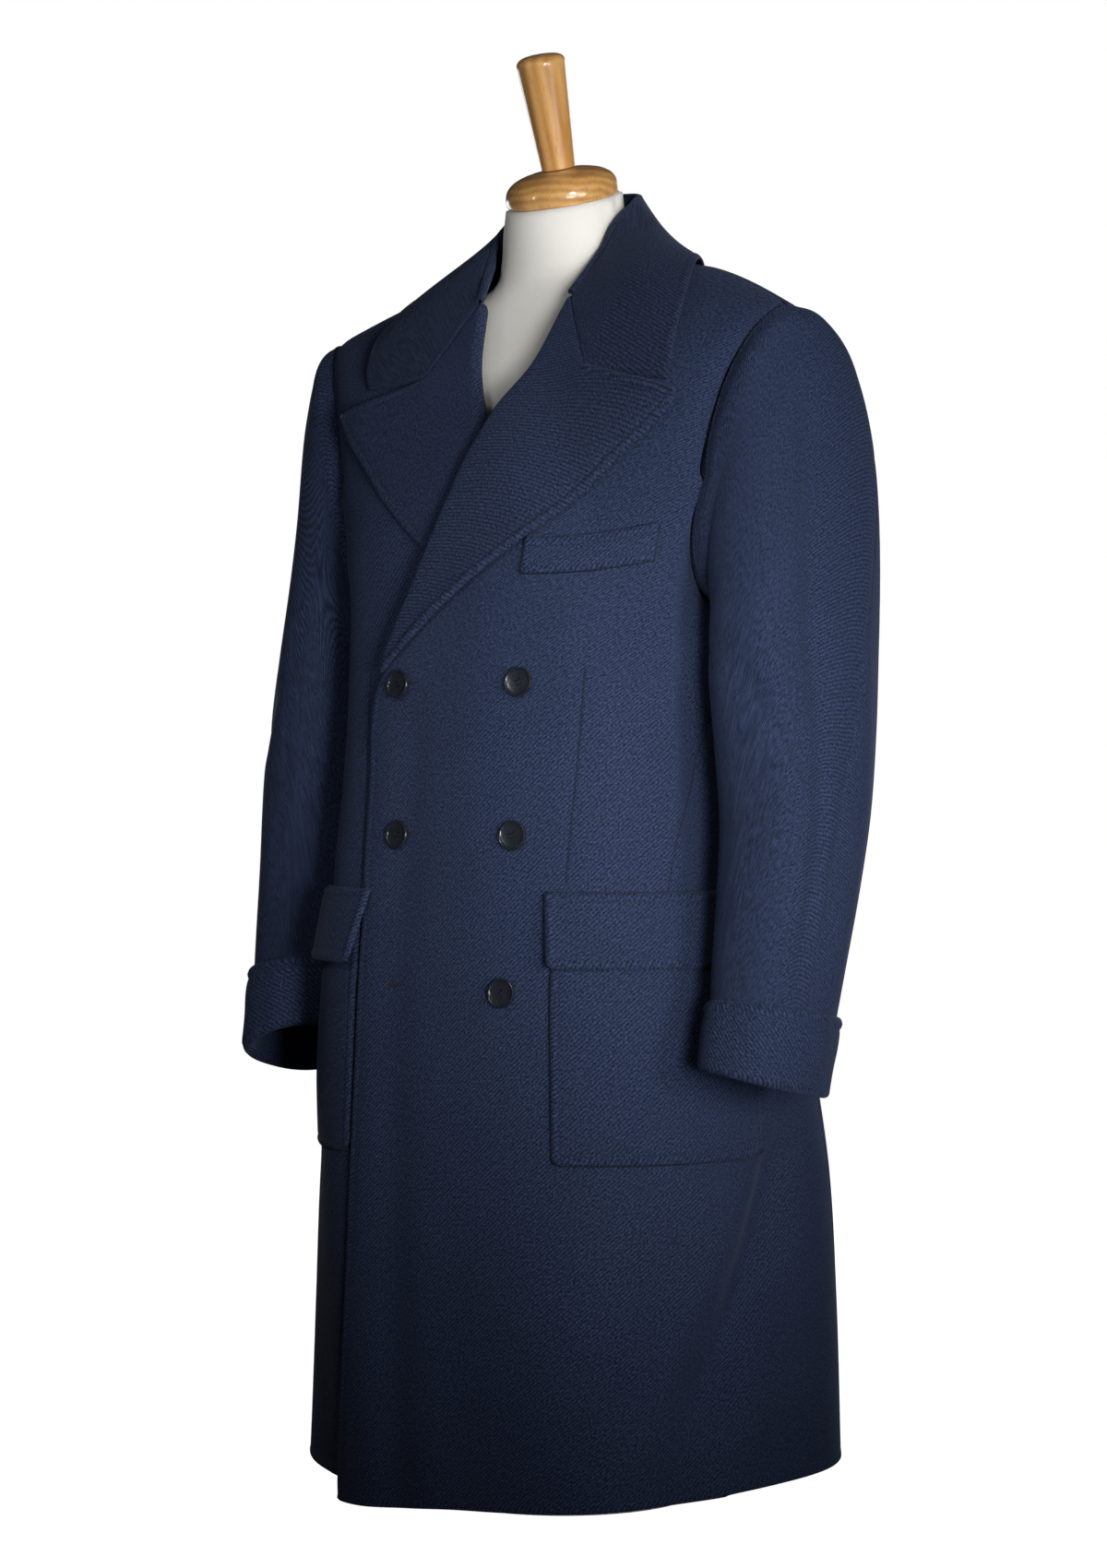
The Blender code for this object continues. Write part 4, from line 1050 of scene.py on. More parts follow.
def collar_points():
    """Rows run from the foot over the fold to the outer edge, columns round the neck."""
    u = AROUND_COLLAR[None, :]
    side = np.where(u < 0.5, 1.0, -1.0)
    forward = np.abs(1 - 2 * u)
    foot, fold, edge = (collar_part(first, forward) for first in (FOOT, FOLD, FALL))
    away = unit((edge - fold) * (1, 1, 0))
    centre = fold - (0, 0, FOLD_RADIUS + CLOTH)
    stand = mix(foot, centre - away * FOLD_RADIUS, np.linspace(0, 1, STAND_CELLS + 1)[:, None, None])
    turn = np.linspace(0, math.pi, FOLD_CELLS + 1)[1:, None, None]
    over_top = centre - away * FOLD_RADIUS * np.cos(turn) + np.sin(turn) * (0, 0, FOLD_RADIUS)
    t = DOWN_FALL[1:, None, None]
    bow = 4 * t * (1 - t)
    fall = mix(centre + away * FOLD_RADIUS, edge, t)
    fall = fall + BOW_WAY * bow * between(COLLAR, BOW_FRONT, forward)[..., None]
    fall = fall + bow * between(COLLAR, BOW_UP, forward)[..., None] * (0, 0, 1)
    corner = np.where((u < 0.5)[..., None], COLLAR_CORNER[1], COLLAR_CORNER[-1])
    flat = along_gorge(t[..., 0] + 0 * u, NOTCH_SHARE, corner)
    out = mix(ROLL_RADIUS + SEAM, LAPEL_OUT, ease(t[..., 0], 0, LAPEL_SETTLES))
    on_chest = on_front(1, flat[..., 0], flat[..., 1] + GORGE_CLEAR, out)
    ending = (ease(forward, ENDS_FROM, 1.0) ** 2)[..., None]
    points = np.concatenate((stand, over_top, mix(fall, on_chest, ending)))
    return points * spot(side, 1, 1)


def make_collar():
    """The whole collar, sewn to the lapels below the notches and free round its fall."""
    points = collar_points()
    left, right, foot, top = lengths(points)
    end = np.minimum(left, right)
    stand = np.arange(points.shape[0])[:, None] < STAND_CELLS + FOLD_CELLS
    from_fold = foot - foot[STAND_CELLS + FOLD_CELLS]
    notch = ease(from_fold / np.maximum(from_fold[-1:], 1e-6), NOTCH_SHARE, NOTCH_SHARE + 0.05)
    free_end = np.where(notch > 0.5, end, 1.0)
    near, along = nearest((top, left), (free_end, foot))
    gorge = sewn(end, *GORGE_SEAM) * (1 - notch)
    points = raised(points, np.where(stand, 0.0, finished(near, roll=0.0006, picked=0.6) + gorge), True)
    across, up = ways(points)
    points = round_corner(points, left, top, across, -up, COLLAR_CORNER_ROUND)
    points = round_corner(points, right, top, -across, -up, COLLAR_CORNER_ROUND)
    return cloth(
        "collar", points, flip=True, grain=COLLAR_GRAIN, mirror_grain=True,
        picks=(near + stand, along), finish=collar_wool_painted_shade,
    )


collar = make_collar()

# %% [markdown]
# ## The sleeves
# A tailored sleeve is two long pieces that curve with a resting arm. Each row of the
# table is a section across the sleeve. The first section lies on the armhole itself,
# with the head's cloth eased over it, so the sleeve grows out of the shoulder.

# %% Sleeve sections
# Inner x and height, outer x and height, middle and half width front to back, rise of
# the front in degrees, angle of the hind seam, and how far the section turns inwards.
SLEEVE = np.array([
    (0.1870, 0.7580, 0.2490, 1.0115, 0.0020, 0.0735, 0, -70, 0.012),
    (0.1885, 0.7530, 0.2585, 0.9835, 0.0055, 0.0785, 0, -62, 0.014),
    (0.1890, 0.7480, 0.2655, 0.9400, 0.0085, 0.0830, 0, -52, 0.014),
    (0.1885, 0.7410, 0.2700, 0.8840, 0.0100, 0.0855, 0, -42, 0.013),
    (0.1870, 0.7280, 0.2735, 0.8200, 0.0085, 0.0865, 0, -30, 0.012),
    (0.1865, 0.7030, 0.2785, 0.7500, 0.0035, 0.0850, 0, -16, 0.010),
    (0.1880, 0.6480, 0.2880, 0.6740, -0.002, 0.080, 0, -4, 0.004),
    (0.1930, 0.5900, 0.2940, 0.6080, -0.009, 0.074, 3, 4, 0.000),
    (0.1990, 0.5370, 0.2960, 0.5460, -0.023, 0.067, 6, 8, 0.000),
    (0.2050, 0.4830, 0.2950, 0.4850, -0.038, 0.062, 8, 9, 0.000),
    (0.2110, 0.4340, 0.2920, 0.4310, -0.050, 0.060, 9, 8, 0.000),
    (0.2125, 0.4005, 0.2900, 0.3865, -0.060, 0.060, 9.5, 6, 0.000),
])
IN_X, IN_Z, OUT_X, OUT_Z, MID_Y, HALF_Y, PITCH, HIND, TURN_IN = range(9)
ARM_SQUARE = 2.4
FORE_SEAM, HIND_START = 7 * math.tau / 20, -4 * math.tau / 20
SEAM_TURN = 0.0006
SWAY_FROM = 6
ELBOW_ROW, ELBOW_REACH = 6.3, 2.0
SWAY = {1: np.array((0, -0.016, -0.006)), -1: np.array((0, 0.018, 0.002))}
ELBOW_OUT = {1: np.zeros(3), -1: np.array((0.006, -0.003, 0))}
CUFF_TILT = {1: (0.0, 0.0), -1: (-0.0095, 0.0046)}  # rise of the sleeve's end outwards and forwards
SLEEVE_END = len(SLEEVE)

# Creases of a sleeve: side, start turn and section, end turn and section, start and
# end width in degrees, depth in metres (negative is a trough).
SLEEVE_FOLDS = (
    (1, 16, 1.6, 27, 10.9, 10, 11, -0.0056),
    (1, 4, 6.8, 6, 11.2, 7, 8, -0.0030),
    (1, 52, 2.4, 58, 9.0, 13, 15, 0.0022),
    (1, -18, 2.6, -14, 11.0, 10, 12, 0.0022),
    (1, 84, 6.2, 40, 7.6, 10, 13, -0.0026),
    (1, 118, 5.2, 70, 6.6, 14, 18, -0.0025),
    (-1, 46, 3.0, 50, 7.4, 12, 16, -0.0026),
    (-1, 10, 4.6, 16, 11.6, 14, 17, -0.0022),
    (-1, 74, 6.2, 36, 7.4, 12, 16, -0.0026),
    (-1, -20, 5.0, -10, 11.2, 12, 14, 0.0020),
)
CREASE_STARTS, CREASE_ENDS = (-0.15, 0.3), (0.8, 1.12)  # shares of its length that fade it
UNDER_CUFF = (SLEEVE_END - 1.6, SLEEVE_END - 0.9)  # all creases fade before the cuff


def rounded(angle, square):
    """Cosine and sine bent to a superellipse."""
    c, s = np.cos(angle), np.sin(angle)
    return np.sign(c) * np.abs(c) ** (2 / square), np.sign(s) * np.abs(s) ** (2 / square)


def armhole(turn):
    """Points just outside the armhole: turn 0 is the shoulder, 90 degrees the front."""
    c, s = np.cos(turn), np.sin(turn)
    foot = armhole_foot(s)
    upper = c > 0
    angle = np.where(
        upper, np.where(s > 0, angle_of_y(-ARM_Y, CHEST), angle_of_y(ARM_Y, CHEST)),
        angle_of_y(-ARM_Y * s, foot),
    )
    height = np.where(upper, CHEST, foot)
    lift = np.where(upper, np.where(c < 0.999, c, 1.0), 0.0)
    point = skin(angle, height, lift, 0.0)
    normal = (skin(angle, height, lift, 0.001) - point) * 1000
    return point + normal * LAYER * np.maximum(normal[..., :1], 0.0) + (2 * SEAM, 0, 0)


def sleeve_section(side, row, turn):
    """Points round one section: turn 0 is outwards, 90 degrees the front."""
    if row == 0:
        return armhole(turn) * (side, 1, 1)
    size = SLEEVE[row - 1]
    c, s = rounded(turn, ARM_SQUARE)
    x = mix(size[IN_X], size[OUT_X], (1 + c) / 2) - s * size[TURN_IN]
    z = mix(size[IN_Z], size[OUT_Z], (1 + c) / 2) + s * size[HALF_Y] * math.tan(math.radians(size[PITCH]))
    late = ease(row, SWAY_FROM, SLEEVE_END)
    z = z + late * (CUFF_TILT[side][0] * c + CUFF_TILT[side][1] * s)
    point = spot(x, size[MID_Y] - s * size[HALF_Y], z) + SWAY[side] * late
    point = point + ELBOW_OUT[side] * hump(row, ELBOW_ROW, ELBOW_REACH)
    return point * (side, 1, 1)


def sleeve_point(side, along, turn):
    """Points of the sleeve, along in sections from the armhole."""
    along, turn = np.broadcast_arrays(along, turn)
    sections = np.stack([sleeve_section(side, row, turn) for row in range(SLEEVE_END + 1)])
    row = np.clip(along.astype(int), 0, SLEEVE_END - 1)

    def take(step):
        index = np.clip(row + step, 0, SLEEVE_END)[None, ..., None]
        return np.take_along_axis(sections, np.broadcast_to(index, (1, *turn.shape, 3)), axis=0)[0]

    before, start, end, after = (take(step) for step in (-1, 0, 1, 2))
    t = (along - row)[..., None]
    leave, arrive = (end - before) / 2, (after - start) / 2
    ends = start * (1 + 2 * t) * (1 - t) ** 2 + end * t * t * (3 - 2 * t)
    return ends + (leave * (1 - t) - arrive * t) * t * (1 - t)


def hind_seam(along):
    """Turn of the hind-arm seam along the sleeve."""
    rows = np.column_stack((range(SLEEVE_END + 1), [HIND_START, *np.radians(SLEEVE[:, HIND])]))
    return between(rows, 1, along)


def sleeve_folds(side, along, turn):
    """How far a sleeve's creases stand out or in."""
    out = np.zeros(np.broadcast(along, turn).shape)
    for which, turn_0, row_0, turn_1, row_1, wide_0, wide_1, deep in SLEEVE_FOLDS:
        if which != side:
            continue
        down = (along - row_0) / (row_1 - row_0)
        share = np.clip(down, 0, 1)
        apart = (np.degrees(turn) - mix(turn_0, turn_1, share) + 180) % 360 - 180
        ends = ease(down, *CREASE_STARTS) * (1 - ease(down, *CREASE_ENDS))
        out = out + deep * ends * np.exp(-((apart / mix(wide_0, wide_1, share)) ** 2))
    return out * (1 - ease(along, *UNDER_CUFF))


# %% Sleeve pieces
SLEEVE_LENGTH = 0.62
SLEEVE_UP = spaced(SLEEVE_LENGTH, CELL, start=True) * SLEEVE_END
SLEEVE_GRAIN = {"top": 0.0, "under": -35.0}
SLEEVE_WIDTH = {"top": 0.24, "under": 0.20}
HEAD_SEAM, HIND_SEAM, FOREARM_SEAM = (0.0030, 0.006), (0.0009, 0.0026), (0.0002,)
ROPE_HIGH, ROPE_AT, ROPE_WIDE = 0.0016, 0.013, 0.008
TUCK_DOWN, TUCK_IN = (0.0030, 0.0010), (0.002, 0.007)


def tucked(points, outward, side):
    """Two rows of seam allowance before a sleeve's first row, turned in under the body."""
    for down, inwards in zip(TUCK_DOWN, TUCK_IN):
        row = points[0] - outward[0] * down - np.array((inwards * side, 0, 0))
        points = np.concatenate((row[None], points))
    return points


def make_sleeve_piece(side, which):
    """The top or under piece of a sleeve, between its hind-arm and forearm seams."""
    along = SLEEVE_UP[:, None]
    hind = hind_seam(along)
    if which == "top":
        first, last = hind + SEAM_TURN, FORE_SEAM - SEAM_TURN
    else:
        first, last = FORE_SEAM + SEAM_TURN, hind + math.tau - SEAM_TURN
    turn = mix(first, last, spaced(SLEEVE_WIDTH[which], CELL, start=True, end=True)[None, :])
    points = sleeve_point(side, along, turn)
    left, right, foot, _ = lengths(points)
    # The head is eased into the armhole: a small rise just past the seam.
    rope = ROPE_HIGH * hump(foot, ROPE_AT, ROPE_WIDE) * np.clip(np.cos(turn) + 0.4, 0, 1)
    at_hind, at_front = (left, right) if which == "top" else (right, left)
    seams = sewn(at_hind, *HIND_SEAM) + sewn(at_front, *FOREARM_SEAM) + sewn(foot, *HEAD_SEAM)
    lift_off = sleeve_folds(side, along, turn) + seams + rope
    outward = facing(points, side < 0)
    points = tucked(points + outward * lift_off[..., None], outward, side)
    cloth(
        "sleeve_" + side_name(side) + "_" + which, points, flip=side < 0,
        grain=SLEEVE_GRAIN[which], mirror_grain=side < 0,
    )


for side in (1, -1):
    for which in SLEEVE_GRAIN:
        make_sleeve_piece(side, which)

# %% [markdown]
# ## The cuffs
# The sleeve is cut long and turned back on itself as a deep band, so its lower edge is
# a soft fold and only its upper edge is a cut one. The grid starts up inside the
# sleeve, comes down, turns round the fold and runs up the outside.

# %% Cuffs
CUFF_TOP = {1: 10.78, -1: 10.62}
CUFF_AIR, CUFF_DROP = 0.0014, 0.003
CUFF_INSIDE = 0.0006
CUFF_UP_INSIDE = 0.9  # how far the cloth shows inside, in sections
CUFF_AROUND, CUFF_STEPS, CUFF_DEPTH, CUFF_CELL = 111, 11, 0.052, 0.0028
CUFF_SWELL, SWELL_AT, SWELL_WIDE = 0.0012, 0.022, 0.014
CUFF_GROOVE, CUFF_GROOVE_WIDE = 0.0008, 0.003
CUFF_WAVE, CUFF_RIPPLE = 0.0007, 0.0006  # three slow waves and seven small ones round it


def make_cuff(side):
    """A cuff all round, its first and last columns welded."""
    turn = np.linspace(0, math.tau, CUFF_AROUND)[None, :]
    outer = CLOTH + CUFF_AIR
    radius = (outer + CUFF_INSIDE) / 2
    bend = np.linspace(0, math.pi, CUFF_STEPS)
    inside = np.linspace(SLEEVE_END - CUFF_UP_INSIDE, SLEEVE_END, CUFF_STEPS)[:-1]
    outside = mix(SLEEVE_END, CUFF_TOP[side], spaced(CUFF_DEPTH, CUFF_CELL, end=True))[1:]
    along = np.concatenate((inside, np.full(CUFF_STEPS, SLEEVE_END), outside))[:, None]
    out = np.concatenate((
        np.full(len(inside), -CUFF_INSIDE), radius - CUFF_INSIDE - radius * np.cos(bend),
        np.full(len(outside), outer),
    ))[:, None]
    drop = np.concatenate((np.zeros(len(inside)), radius * np.sin(bend), np.zeros(len(outside))))[:, None]
    drop = drop + CUFF_DROP * ease(along, CUFF_TOP[side], SLEEVE_END)
    here = sleeve_point(side, along, turn)
    across = [sleeve_point(side, along, opposite + 0 * turn) for opposite in (0, math.pi)]
    away = unit(here - (across[0] + across[1]) / 2)
    end = np.full_like(along, SLEEVE_END)
    down = unit(sleeve_point(side, end, turn) - sleeve_point(side, end - 1, turn))
    points = here + away * out[..., None] + down * drop[..., None]
    top = lengths(points)[3]
    soft = CUFF_WAVE * np.sin(3 * turn + side) * ease(top, 0.0, 0.02)
    soft = soft + CUFF_RIPPLE * np.sin(7 * turn + 1.0)
    swell = CUFF_SWELL * hump(top, SWELL_AT, SWELL_WIDE)
    groove = CUFF_GROOVE * hump(top, PICK_AT, CUFF_GROOVE_WIDE)
    lift_off = finished(top, roll=0.0012, picked=0.0) - groove + swell + soft
    outside_only = np.arange(points.shape[0])[:, None] >= len(along) - len(outside)
    points = points + away * np.where(outside_only, lift_off, 0.0)[..., None]
    points[:, -1] = points[:, 0]
    cloth(
        "cuff_" + side_name(side), points, flip=side > 0, wall=CUFF_CLOTH, closed=True,
        mirror_grain=side < 0,
    )


for side in (1, -1):
    make_cuff(side)

# %% [markdown]
# ## Pockets, flaps and the chest welt
# These are laid on the fronts: the same surface, moved out by a cloth's thickness. A
# patch is sewn down all round, so its edges sink to the front below. A flap is sewn
# only along its top. The right flap stands away, where the coat bends round the form.

# %% Pocket pieces
POCKET_TOP, POCKET_FOOT, POCKET_WIDTH = 0.526, 0.313, 0.203
FLAP_TOP, FLAP_FOOT, FLAP_WIDTH = 0.534, 0.4725, 0.204
POCKET_EDGE = np.array([(0.30, 0.1050), (0.40, 0.1020), (0.54, 0.0975)])
FLAP_EDGE = {
    1: np.array([(0.46, 0.1000), (0.50, 0.0955), (0.54, 0.0905)]),
    -1: np.array([(0.46, 0.0970), (0.50, 0.0905), (0.54, 0.0850)]),
}
FLAP_LEAN = {1: 0.0040, -1: 0.010}
LAID_CELL = 0.0030
POCKET_CORNERS, FLAP_CORNERS = (0.009, 0.020), (0.008, 0.008)  # radii in front and behind
POCKET_BAG, FLAP_WAVE = 0.0035, 0.0010
# How deep a sewn-down edge sinks, and how far in.
POCKET_SUNK, FLAP_SUNK, WELT_SUNK = (0.0008, 0.005), (0.0016, 0.005), (0.0019, 0.0035)
MEASURE = np.linspace(0, 2.2, 300)  # turns from the front edge at which a width is measured


def sunk(near, deep, reach):
    """Height of the cloth beside an edge that is sewn down to the piece below."""
    return -deep * (1 - ease(near, 0.0, reach))


def pocket_points(side, edge, width, top, foot, across, up, out):
    """A piece on the skirt, its width measured round the body at each height."""
    rows = []
    for height, share in zip(mix(foot, top, up), up):
        start = angle_of_x(between(edge, 1, height), height)
        ring = outline(start + MEASURE, height + 0 * MEASURE)
        gone = np.pad(np.cumsum(np.linalg.norm(np.diff(ring, axis=0), axis=-1)), (1, 0))
        angle = start + np.interp(across * width, gone, MEASURE)
        x = outline(angle, height + 0 * angle)[..., 0]
        off = over(x, height) if side > 0 else 0.0
        rows.append(skin(angle, height, 0.0, off + folds(side * angle, height) + out(across, share)))
    return np.stack(rows) * (side, 1, 1)


def free_edges(left, right, foot):
    """Distance to the nearest of the edges that are not the top, and along it."""
    return nearest((left, foot), (right, foot), (foot, left))


def lay_on(kind, side, points, lift_off, corners, line, picks):
    """Raises a pocket or flap, rounds its lower corners and makes it."""
    left, right, foot, _ = lengths(points)
    points = raised(points, lift_off, side < 0)
    across, up = ways(points)
    points = round_corner(points, left, foot, across, up, corners[0])
    points = round_corner(points, right, foot, -across, up, corners[1])
    cloth(
        kind + "_" + side_name(side), points, flip=side < 0, mirror_grain=side < 0,
        line=line, picks=picks,
    )


def make_pocket(side):
    """A patch pocket, sewn down all round and a little full in the middle."""
    across = spaced(POCKET_WIDTH, LAID_CELL, True, True)
    up = spaced(POCKET_TOP - POCKET_FOOT, LAID_CELL, True, True)
    points = pocket_points(
        side, POCKET_EDGE, POCKET_WIDTH, POCKET_TOP, POCKET_FOOT, across, up, lambda u, v: LAYER + 0 * u,
    )
    left, right, foot, _ = lengths(points)
    near, along = free_edges(left, right, foot)
    bag = POCKET_BAG * np.sin(math.pi * across[None, :]) * np.sin(math.pi * up[:, None]) ** 2
    lift_off = finished(near, roll=0.0004) + sunk(near, *POCKET_SUNK) + bag
    # The line darkens the pocket's edges with painted shadow.
    lay_on("pocket", side, points, lift_off, POCKET_CORNERS, (near, 0 * near + 0.8), (near, along))


def make_flap(side):
    """A flap, sewn down along its top and hanging free below."""
    across = spaced(FLAP_WIDTH, LAID_CELL, True, True)
    up = spaced(FLAP_TOP - FLAP_FOOT, LAID_CELL, True, True)

    def out(u, v):
        return 2 * LAYER + FLAP_LEAN[side] * (1 - v) ** 0.8 * (1 - 0.5 * u)

    points = pocket_points(side, FLAP_EDGE[side], FLAP_WIDTH, FLAP_TOP, FLAP_FOOT, across, up, out)
    left, right, foot, top = lengths(points)
    near, _ = free_edges(left, right, foot)
    lift_off = finished(near, roll=0.0012, picked=0.0)
    lift_off = lift_off + finished(top, roll=0.0008) + sunk(top, *FLAP_SUNK)
    lift_off = lift_off + FLAP_WAVE * np.sin(math.tau * across[None, :] + 0.6) * (1 - up[:, None])
    # The line darkens the flap's top with painted shadow.
    lay_on("flap", side, points, lift_off, FLAP_CORNERS, (top, 0 * top + 0.9), (top, left))


for side in (1, -1):
    make_pocket(side)
for side in (1, -1):
    make_flap(side)

# %% Chest welt
# Its four corners as x and height, and its size flat.
WELT = np.array(((0.0560, 0.7985), (0.1510, 0.8110), (0.1560, 0.8410), (0.0575, 0.8270)))
WELT_SIZE = (0.096, 0.029)
WELT_SAG, WELT_AIR = 0.003, 0.001


def make_welt():
    """The breast pocket's welt, sewn down at both ends and along its foot."""
    u = spaced(WELT_SIZE[0], 0.0022, True, True)[None, :]
    v = spaced(WELT_SIZE[1], 0.0020, True, True)[:, None]
    low, high = mix(WELT[0], WELT[1], u[..., None]), mix(WELT[3], WELT[2], u[..., None])
    flat = mix(low, high, v[..., None])
    sag = WELT_SAG * 4 * u * (1 - u)
    points = on_front(1, flat[..., 0], flat[..., 1] - sag, LAYER + WELT_AIR)
    left, right, foot, top = lengths(points)
    near, _ = free_edges(left, right, foot)
    lift_off = finished(near, roll=0.0002, picked=0.0) + sunk(near, *WELT_SUNK)
    lift_off = lift_off + finished(top, roll=0.0008, picked=0.5)
    points = raised(points, lift_off, False)
    # The line darkens the welt's sewn edges with painted shadow.
    return cloth("chest_welt", points, line=(near, 0 * near + 1.0), picks=(top, left))


welt = make_welt()

# %% [markdown]
# ## Buttons
# A coat button is turned: a dished face inside a raised, polished rim, and four holes
# drilled through. The profile is spun round its axis, the holes are cut with a
# Boolean, and a cross of thread runs through them to the cloth.

# %% Button shapes
BUTTON_X = 0.060
BUTTON_ROWS = (0.708, 0.5815, 0.452)
BUTTON_PLACES = (
    (-BUTTON_X, BUTTON_ROWS[0]), (BUTTON_X, BUTTON_ROWS[0]),
    (-BUTTON_X, BUTTON_ROWS[1]), (BUTTON_X, BUTTON_ROWS[1]), (BUTTON_X, BUTTON_ROWS[2]),
)
STITCH_GAP = 0.0012
# Radius and height above the back.
BUTTON_PROFILE = (
    (0.0, 0.0), (0.0085, 0.0), (0.0108, 0.0004), (0.0122, 0.0012), (0.0126, 0.0021), (0.0125, 0.0030),
    (0.0121, 0.0037), (0.0114, 0.0040), (0.0107, 0.0038), (0.0102, 0.0033), (0.0099, 0.0029),
    (0.0094, 0.0028), (0.0080, 0.00255), (0.0055, 0.0023), (0.0028, 0.0022), (0.0, 0.0022),
)
HOLE_OUT, HOLE_RADIUS, HOLE_SEGMENTS = 0.0023, 0.00095, 14
BUTTON_SEGMENTS = 56
DRILL_HEIGHT, DRILL_LONG = 0.002, 0.008
SHANK_WIDE, SHANK_NARROW, SHANK_LONG, SHANK_HEIGHT = 0.0022, 0.0018, 0.0030, 0.0004
STRAND_OUT, STRAND_APART, STRAND_HEIGHT = 0.00163, 0.00028, 0.00245
STRAND_RADIUS, STRAND_LONG, STRAND_LEAN = 0.00030, 0.0036, 0.08
TURNED_SHARP, DRILLED_SHARP = math.radians(30), math.radians(35)


def turned(name, profile, segments):
    """A mesh turned about its own Z axis from radius and height pairs."""
    mesh = bmesh.new()
    points = [mesh.verts.new((radius, 0, height)) for radius, height in profile]
    edges = [mesh.edges.new(pair) for pair in zip(points, points[1:])]
    bmesh.ops.spin(
        mesh, geom=points + edges, cent=(0, 0, 0), axis=(0, 0, 1), angle=math.tau,
        steps=segments, use_merge=True,
    )
    bmesh.ops.remove_doubles(mesh, verts=mesh.verts, dist=1e-5)
    bmesh.ops.recalc_face_normals(mesh, faces=mesh.faces)
    data = to_data(mesh, name)
    data.shade_smooth()
    data.set_sharp_from_angle(angle=TURNED_SHARP)
    return data


def add_object(name, data, material_made, node_name):
    """Shows a finished mesh on the frame."""
    if not data.materials:
        data.materials.append(material_made)
    made = bpy.data.objects.new(name, data)
    bpy.context.scene.collection.objects.link(made)
    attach(made, "root")
    if node_name:
        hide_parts(node_name)
    return made


def drilled_button():
    """The button's mesh with its four holes cut."""
    blank_data = turned("button_blank", BUTTON_PROFILE, BUTTON_SEGMENTS)
    blank = bpy.data.objects.new("button_blank", blank_data)
    bpy.context.scene.collection.objects.link(blank)
    drills = bmesh.new()
    for quarter in range(4):
        spin = math.tau * (quarter + 0.5) / 4
        place = (HOLE_OUT * math.cos(spin), HOLE_OUT * math.sin(spin), DRILL_HEIGHT)
        bmesh.ops.create_cone(
            drills, cap_ends=True, segments=HOLE_SEGMENTS, radius1=HOLE_RADIUS, radius2=HOLE_RADIUS,
            depth=DRILL_LONG, matrix=Matrix.Translation(place),
        )
    drill = bpy.data.objects.new("drills", to_data(drills, "drills"))
    bpy.context.scene.collection.objects.link(drill)
    cut = blank.modifiers.new("holes", "BOOLEAN")
    cut.operation = "DIFFERENCE"
    cut.object = drill
    graph = bpy.context.evaluated_depsgraph_get()
    graph.update()
    made = bpy.data.meshes.new_from_object(blank.evaluated_get(graph))
    bpy.data.objects.remove(blank)
    bpy.data.objects.remove(drill)
    return made


def button_thread():
    """A shank under the button and two bars of thread across its face."""
    mesh = bmesh.new()
    bmesh.ops.create_cone(
        mesh, cap_ends=True, segments=12, radius1=SHANK_WIDE, radius2=SHANK_NARROW,
        depth=SHANK_LONG, matrix=Matrix.Translation((0, 0, SHANK_HEIGHT)),
    )
    lying = Matrix.Rotation(math.pi / 2, 4, "X")
    for bar in (-1, 1):
        for strand in (-1, 1):
            place = Matrix.Translation((bar * STRAND_OUT, strand * STRAND_APART, STRAND_HEIGHT))
            bmesh.ops.create_cone(
                mesh, cap_ends=True, segments=8, radius1=STRAND_RADIUS, radius2=STRAND_RADIUS,
                depth=STRAND_LONG, matrix=place @ Matrix.Rotation(strand * STRAND_LEAN, 4, "Z") @ lying,
            )
    data = to_data(mesh, "button_thread")
    data.shade_smooth()
    return data


# %% Button and thread materials
HORN = ((0.006, 0.008, 0.014, 1), (0.022, 0.026, 0.036, 1))  # darkest and palest
SILK = ((0.004, 0.005, 0.010, 1), (0.016, 0.020, 0.036, 1))


def make_button_finish():
    """Polished horn: cloudy, almost black, under a thin clear coat."""
    made, tree, shader = new_material("polished_horn")
    place = object_place(tree)
    fill(
        tree, shader, Base_Color=blend_colours(tree, noise(tree, place, 160, 4), *HORN),
        Roughness=spread_to(tree, noise(tree, place, 420, 3), 0.3, 0.7, 0.20, 0.34),
        Coat_Weight=0.35, Coat_Roughness=0.12,
        Normal=bump(tree, noise(tree, place, 900, 2), 0.08, 0.0002),
    )
    return made


def make_thread_finish():
    """Silk thread, with its strands as fine noise."""
    made, tree, shader = new_material("silk_thread")
    strands = noise(tree, object_place(tree), 2600, 2)
    fill(
        tree, shader, Base_Color=blend_colours(tree, strands, *SILK), Roughness=0.6,
        Normal=bump(tree, strands, 0.4, 0.0002),
    )
    return made


horn = make_button_finish()
thread = make_thread_finish()

# %% Sew the buttons on
BUTTON_SPINS = (0.15, 0.5, -0.2, 0.3, 0.75)  # no two are sewn on at the same turn
PROBE = 0.001  # how far out a second point is taken, to find the cloth's outward direction


def seat_on(side, x, height, out, spin=0.0):
    """A matrix that stands something upright on the front's cloth."""
    here, above = (
        Vector(settled(on_front(side, np.array([x]), np.array([height]), distance))[0])
        for distance in (out, out + PROBE)
    )
    seat = here - Vector((0, 0, DATUM))
    normal = (above - here).normalized()
    right = Vector((0, 0, 1)).cross(normal).normalized()
    turn = Matrix((right, normal.cross(right), normal)).transposed().to_4x4()
    return Matrix.Translation(seat) @ turn @ Matrix.Rotation(spin, 4, "Z")


drilled, sewing = drilled_button(), button_thread()
for number, ((x, height), spin) in enumerate(zip(BUTTON_PLACES, BUTTON_SPINS), 1):
    place = seat_on(1, x, height, CLOTH + STITCH_GAP, spin)
    disc, stitches = drilled.copy(), sewing.copy()
    disc.transform(place)
    stitches.transform(place)
    disc.shade_smooth()
    disc.set_sharp_from_angle(angle=DRILLED_SHARP)
    add_object("horn_button_%d" % number, disc, horn, "button_%d" % number)
    add_object("thread_button_%d" % number, stitches, thread, None)
print("buttons:", len(BUTTON_PLACES), "with", len(drilled.polygons), "faces each")

